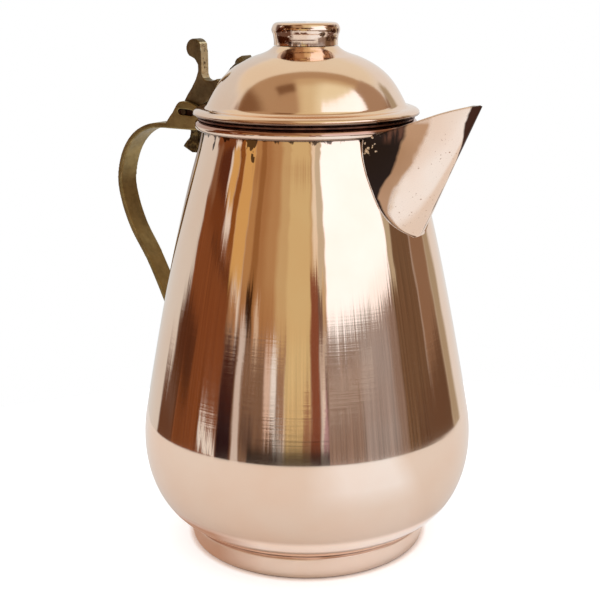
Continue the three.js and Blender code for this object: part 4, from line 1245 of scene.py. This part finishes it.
# Walls and furniture: left and right azimuth from the front, bottom and top elevation and softness
# in degrees.
BACK_WALL = (0.80, 0.80, 0.79, 1)
UPPER_WALL = (0.80, 0.75, 0.62, 1)
ROOM = [
    ("wall far left", -200, -105, -30, 34, 4, (0.70, 0.71, 0.70)),
    ("wall over the door", 84, 118, 20, 50, 2, (0.40, 0.27, 0.18)),
    ("wall over the cupboard", -100, -60, 20, 32, 3, (0.22, 0.10, 0.05)),
    ("wall over the hanging", -60, -14, 20, 30, 3, (0.42, 0.24, 0.11)),
    ("dark over the window", -9, 8, 22.5, 34, 1.5, (0.22, 0.11, 0.06)),
    ("cupboard", -109, -64, -20, 9, 1.5, (0.21, 0.073, 0.026)),
    ("cupboard's foot", -118, -106, -9.5, -3, 1.5, (0.12, 0.055, 0.03)),
    ("floor far left", -127, -106, -20, -8.5, 1.5, (0.135, 0.062, 0.035)),
    ("cupboard's middle", -106, -80, 7, 13.5, 1.2, (0.17, 0.055, 0.018)),
    ("cupboard's upper edge", -108, -99, 8, 24, 1.5, (0.24, 0.12, 0.066)),
    ("cupboard's dark top", -101, -84, 11.5, 26, 1.2, (0.10, 0.03, 0.014)),
    ("cupboard's top board", -101, -66, 21, 27, 1, (0.20, 0.065, 0.025)),
    ("cupboard's shelf", -91, -66, 5.8, 7.2, 0.5, (0.12, 0.04, 0.015)),
    ("cupboard's shadow", -113, -93, -6.5, -1, 1.2, (0.096, 0.034, 0.015)),
    ("cloth's golden hem", -81.5, -74, 12.5, 20, 0.9, (0.66, 0.43, 0.16)),
    ("orange cloth", -74, -67.5, 8, 20, 1, (0.25, 0.09, 0.02)),
    ("golden curtain", -68, -55, 6.8, 21, 1.1, (0.65, 0.42, 0.16)),
    ("lit chair back", -65, -57, 3, 6, 0.8, (0.40, 0.22, 0.10)),
    ("wall behind the chairs", -55, 4, 4, 26, 1.6, (0.39, 0.21, 0.09)),
    ("curtain's last fold", -55, -48.5, 8, 20, 1, (0.45, 0.26, 0.11)),
    ("dark jamb", -48, -42.5, 7, 26, 1, (0.30, 0.145, 0.052)),
    ("wall nearer", -36, 5, 8, 26, 4, (0.46, 0.285, 0.136)),
    ("wall lit", -25, 5, 5, 26, 3, (0.58, 0.45, 0.24)),
    ("golden wall", -16, 3.5, -9, 23.5, 1.6, (0.66, 0.55, 0.30)),
    ("behind the chairs", -56, -20, -9, 4.6, 1, (0.22, 0.14, 0.095)),
    ("red curtain edge", 3, 9.5, -9, 12, 0.7, (0.24, 0.085, 0.048)),
    ("pale frame", 5.5, 11, 13, 34, 1.2, (0.84, 0.78, 0.66)),
    ("frame's side", 9.5, 16, 11, 34, 0.8, (0.59, 0.55, 0.44)),
    ("frame's foot", 8.5, 12, 6, 10.5, 0.5, (0.17, 0.10, 0.08)),
    ("under the window", 14, 74, -20, 7, 1, (0.275, 0.21, 0.18)),
    ("radiator", 40, 66, -6, 4.4, 3, (0.36, 0.335, 0.34)),
    ("door", 73, 101, -20, 24, 1.5, (0.17, 0.105, 0.062)),
    ("door's other leaf", 101, 123, -20, 24, 2, (0.27, 0.17, 0.11)),
    ("door's shaded foot", 84, 122, -20, -5.5, 1.5, (0.14, 0.08, 0.048)),
    ("door frame", 122, 134, -20, 30, 3, (0.41, 0.35, 0.25)),
    ("daylight by the window", 72, 79.5, 5, 14, 1, (0.50, 0.46, 0.35)),
    ("sill", 18, 56, 5.7, 7.4, 0.6, (0.71, 0.79, 0.86)),
    ("window", 15.5, 73, 6.7, 36, 0.8, (1.30, 1.42, 1.62)),
    ("window's lower corner", 51, 71.5, 5.3, 8, 0.6, (1.2, 1.3, 1.45)),
    ("window's upper part", 22, 85, 34, 50.5, 2, (1.28, 1.38, 1.52)),
    ("dark behind left", -171, -156, -7, 1, 2, (0.34, 0.30, 0.28)),
]
# Small things low down, which the belly mirrors as upright streaks.
SMALL_THINGS = [
    ("pale cloth on a chair", -80.5, -65.5, -6.8, -5.0, 0.4, (0.87, 0.92, 0.95)),
    ("dark gap", -65, -54, -9, 3, 0.8, (0.06, 0.018, 0.012)),
    ("black gap", -64, -55, -9, -1.8, 0.8, (0.02, 0.007, 0.008)),
    ("white curtain edge", -53, -48, -9, 5.4, 0.6, (0.62, 0.60, 0.60)),
    ("black slot", -49, -43.5, 4.6, 8.6, 0.5, (0.035, 0.012, 0.003)),
    ("lower slot", -46, -38, -3.4, -1.2, 0.7, (0.10, 0.065, 0.05)),
    ("first chair's edge", -41, -37.5, 4, 7.6, 0.6, (0.65, 0.54, 0.43)),
    ("second chair", -31, -26, -1.2, 4.8, 0.8, (0.70, 0.58, 0.52)),
    ("second chair's edge", -26, -21.5, -0.6, 5, 0.7, (0.86, 0.92, 0.98)),
    ("chair's foot", -24, -18, -2.0, -0.9, 0.4, (0.59, 0.66, 0.70)),
    ("third chair", -20.5, -15.5, -0.8, 5, 0.7, (0.32, 0.20, 0.13)),
    ("golden hem", -2.5, 3, -2, 1.6, 1, (0.34, 0.18, 0.11)),
    ("dark line by the window", 12.6, 14.4, -1, 3.5, 0.4, (0.10, 0.055, 0.04)),
    ("streak by the window", 9.5, 13.5, 2.6, 6, 0.6, (0.55, 0.48, 0.42)),
    ("plug", 11.5, 15, -2, 0.8, 0.5, (0.49, 0.31, 0.38)),
    ("things on the radiator", 15, 50, 1.5, 2.3, 0.35, (0.70, 0.68, 0.66)),
]
PALE_FLOOR = ("pale floor before the table", -12, 44, -60, -5.2, 0.3, BACK_WALL[:3])

# Folds, fringes and things on the sill break the straight edges of the patches.
plain_azimuth, plain_elevation = azimuth, elevation
plain_angles = add_node(tree, "CombineXYZ", {0: plain_azimuth, 1: plain_elevation}).outputs[0]


def wavering(scales, most):
    """A soft wavering of up to some degrees, with its number of waves per radian across and up."""
    waves = stretched_noise(tree, plain_angles, (*scales, 1.0), 3.0, 0.6)
    return spread(tree, waves, 0.3, 0.7, math.radians(-most), math.radians(most))


azimuth = calculate(tree, "ADD", plain_azimuth, wavering((3, 14), 1.6))
elevation = calculate(tree, "ADD", plain_elevation, wavering((45, 0.5), 1.9))
upward = calculate(tree, "MAXIMUM", parts.outputs["Z"], 0.05)
ceiling_across = calculate(tree, "DIVIDE", parts.outputs["X"], upward)
ceiling_ahead = calculate(tree, "MULTIPLY_ADD", ceiling_across, 0.1, calculate(tree, "DIVIDE", ahead, upward))
upper_share = framed(azimuth, elevation, *in_radians(-200, 200, 34, 100, 8))
room = blend_colours(tree, upper_share, BACK_WALL, UPPER_WALL)
for name, *edges, colour in CEILING:
    share = framed(ceiling_across, ceiling_ahead, *edges)
    room = blend_colours(tree, share, room, (*colour, 1))
    room.node.label = name
for patch in ROOM:
    room = room_patch(room, *patch)

# Lower down, uneven upright streaks lie over the furniture.
streaks = spread(tree, stretched_noise(tree, plain_angles, (42, 3.0, 1.0), 4.0, 0.6), 0.35, 0.65, 0.72, 1.24)
streak_share = framed(azimuth, elevation, *in_radians(-112, 96, -60, 5, 4))
streaks = add_node(tree, "Mix", {0: streak_share, 2: 1.0, 3: streaks}, data_type="FLOAT").outputs[0]
room = dimmed(room, streaks)
for patch in SMALL_THINGS:
    room = room_patch(room, *patch)

# The shadow above the table's edge lies lower to the sides.
square = calculate(tree, "MULTIPLY", plain_azimuth, plain_azimuth)
above_table = calculate(tree, "MULTIPLY_ADD", square, 0.047, plain_elevation)
shadow = framed(plain_azimuth, above_table, *in_radians(-41, 15, -5, -1.5, 0.6))
room = dimmed(room, spread(tree, shadow, 0, 1, 1.0, 0.1))
room = room_patch(room, *PALE_FLOOR)
mirrored_room = add_node(tree, "Background", {"Color": room, "Strength": 1.0})
plain = add_node(tree, "Background", {"Color": (1, 1, 1, 1), "Strength": 1.0})
in_metal = add_node(tree, "LightPath").outputs["Is Glossy Ray"]
mixed = add_node(tree, "MixShader", {0: in_metal, 1: plain.outputs[0], 2: mirrored_room.outputs[0]})
tree.links.new(mixed.outputs[0], tree.nodes["World Output"].inputs["Surface"])

# The camera.
# It stands at the photograph's viewing angle, a little above the lid, in front on the side of
# the spout.
CAMERA_DISTANCE = 0.4796
CAMERA_HEIGHT = 0.2344
CAMERA_PITCH = 15.17
CAMERA_ROLL = -0.17
CAMERA_LENS = 69.75
CAMERA_SHIFT = -6.7 / 600
camera_data = bpy.data.cameras.new("photo_camera")
camera_data.sensor_width = 36
camera_data.lens = CAMERA_LENS
camera_data.shift_x = CAMERA_SHIFT
camera = bpy.data.objects.new("photo_camera", camera_data)
bpy.context.scene.collection.objects.link(camera)
stand = AXIS + towards_camera * CAMERA_DISTANCE + Vector((0, 0, CAMERA_HEIGHT))
aim = Matrix.Rotation(VIEW_TURN, 4, "Z") @ Matrix.Rotation(math.radians(90 - CAMERA_PITCH), 4, "X")
camera.matrix_world = Matrix.Translation(stand) @ aim @ Matrix.Rotation(math.radians(CAMERA_ROLL), 4, "Z")
bpy.context.scene.camera = camera
bpy.context.scene.view_settings.view_transform = "Standard"
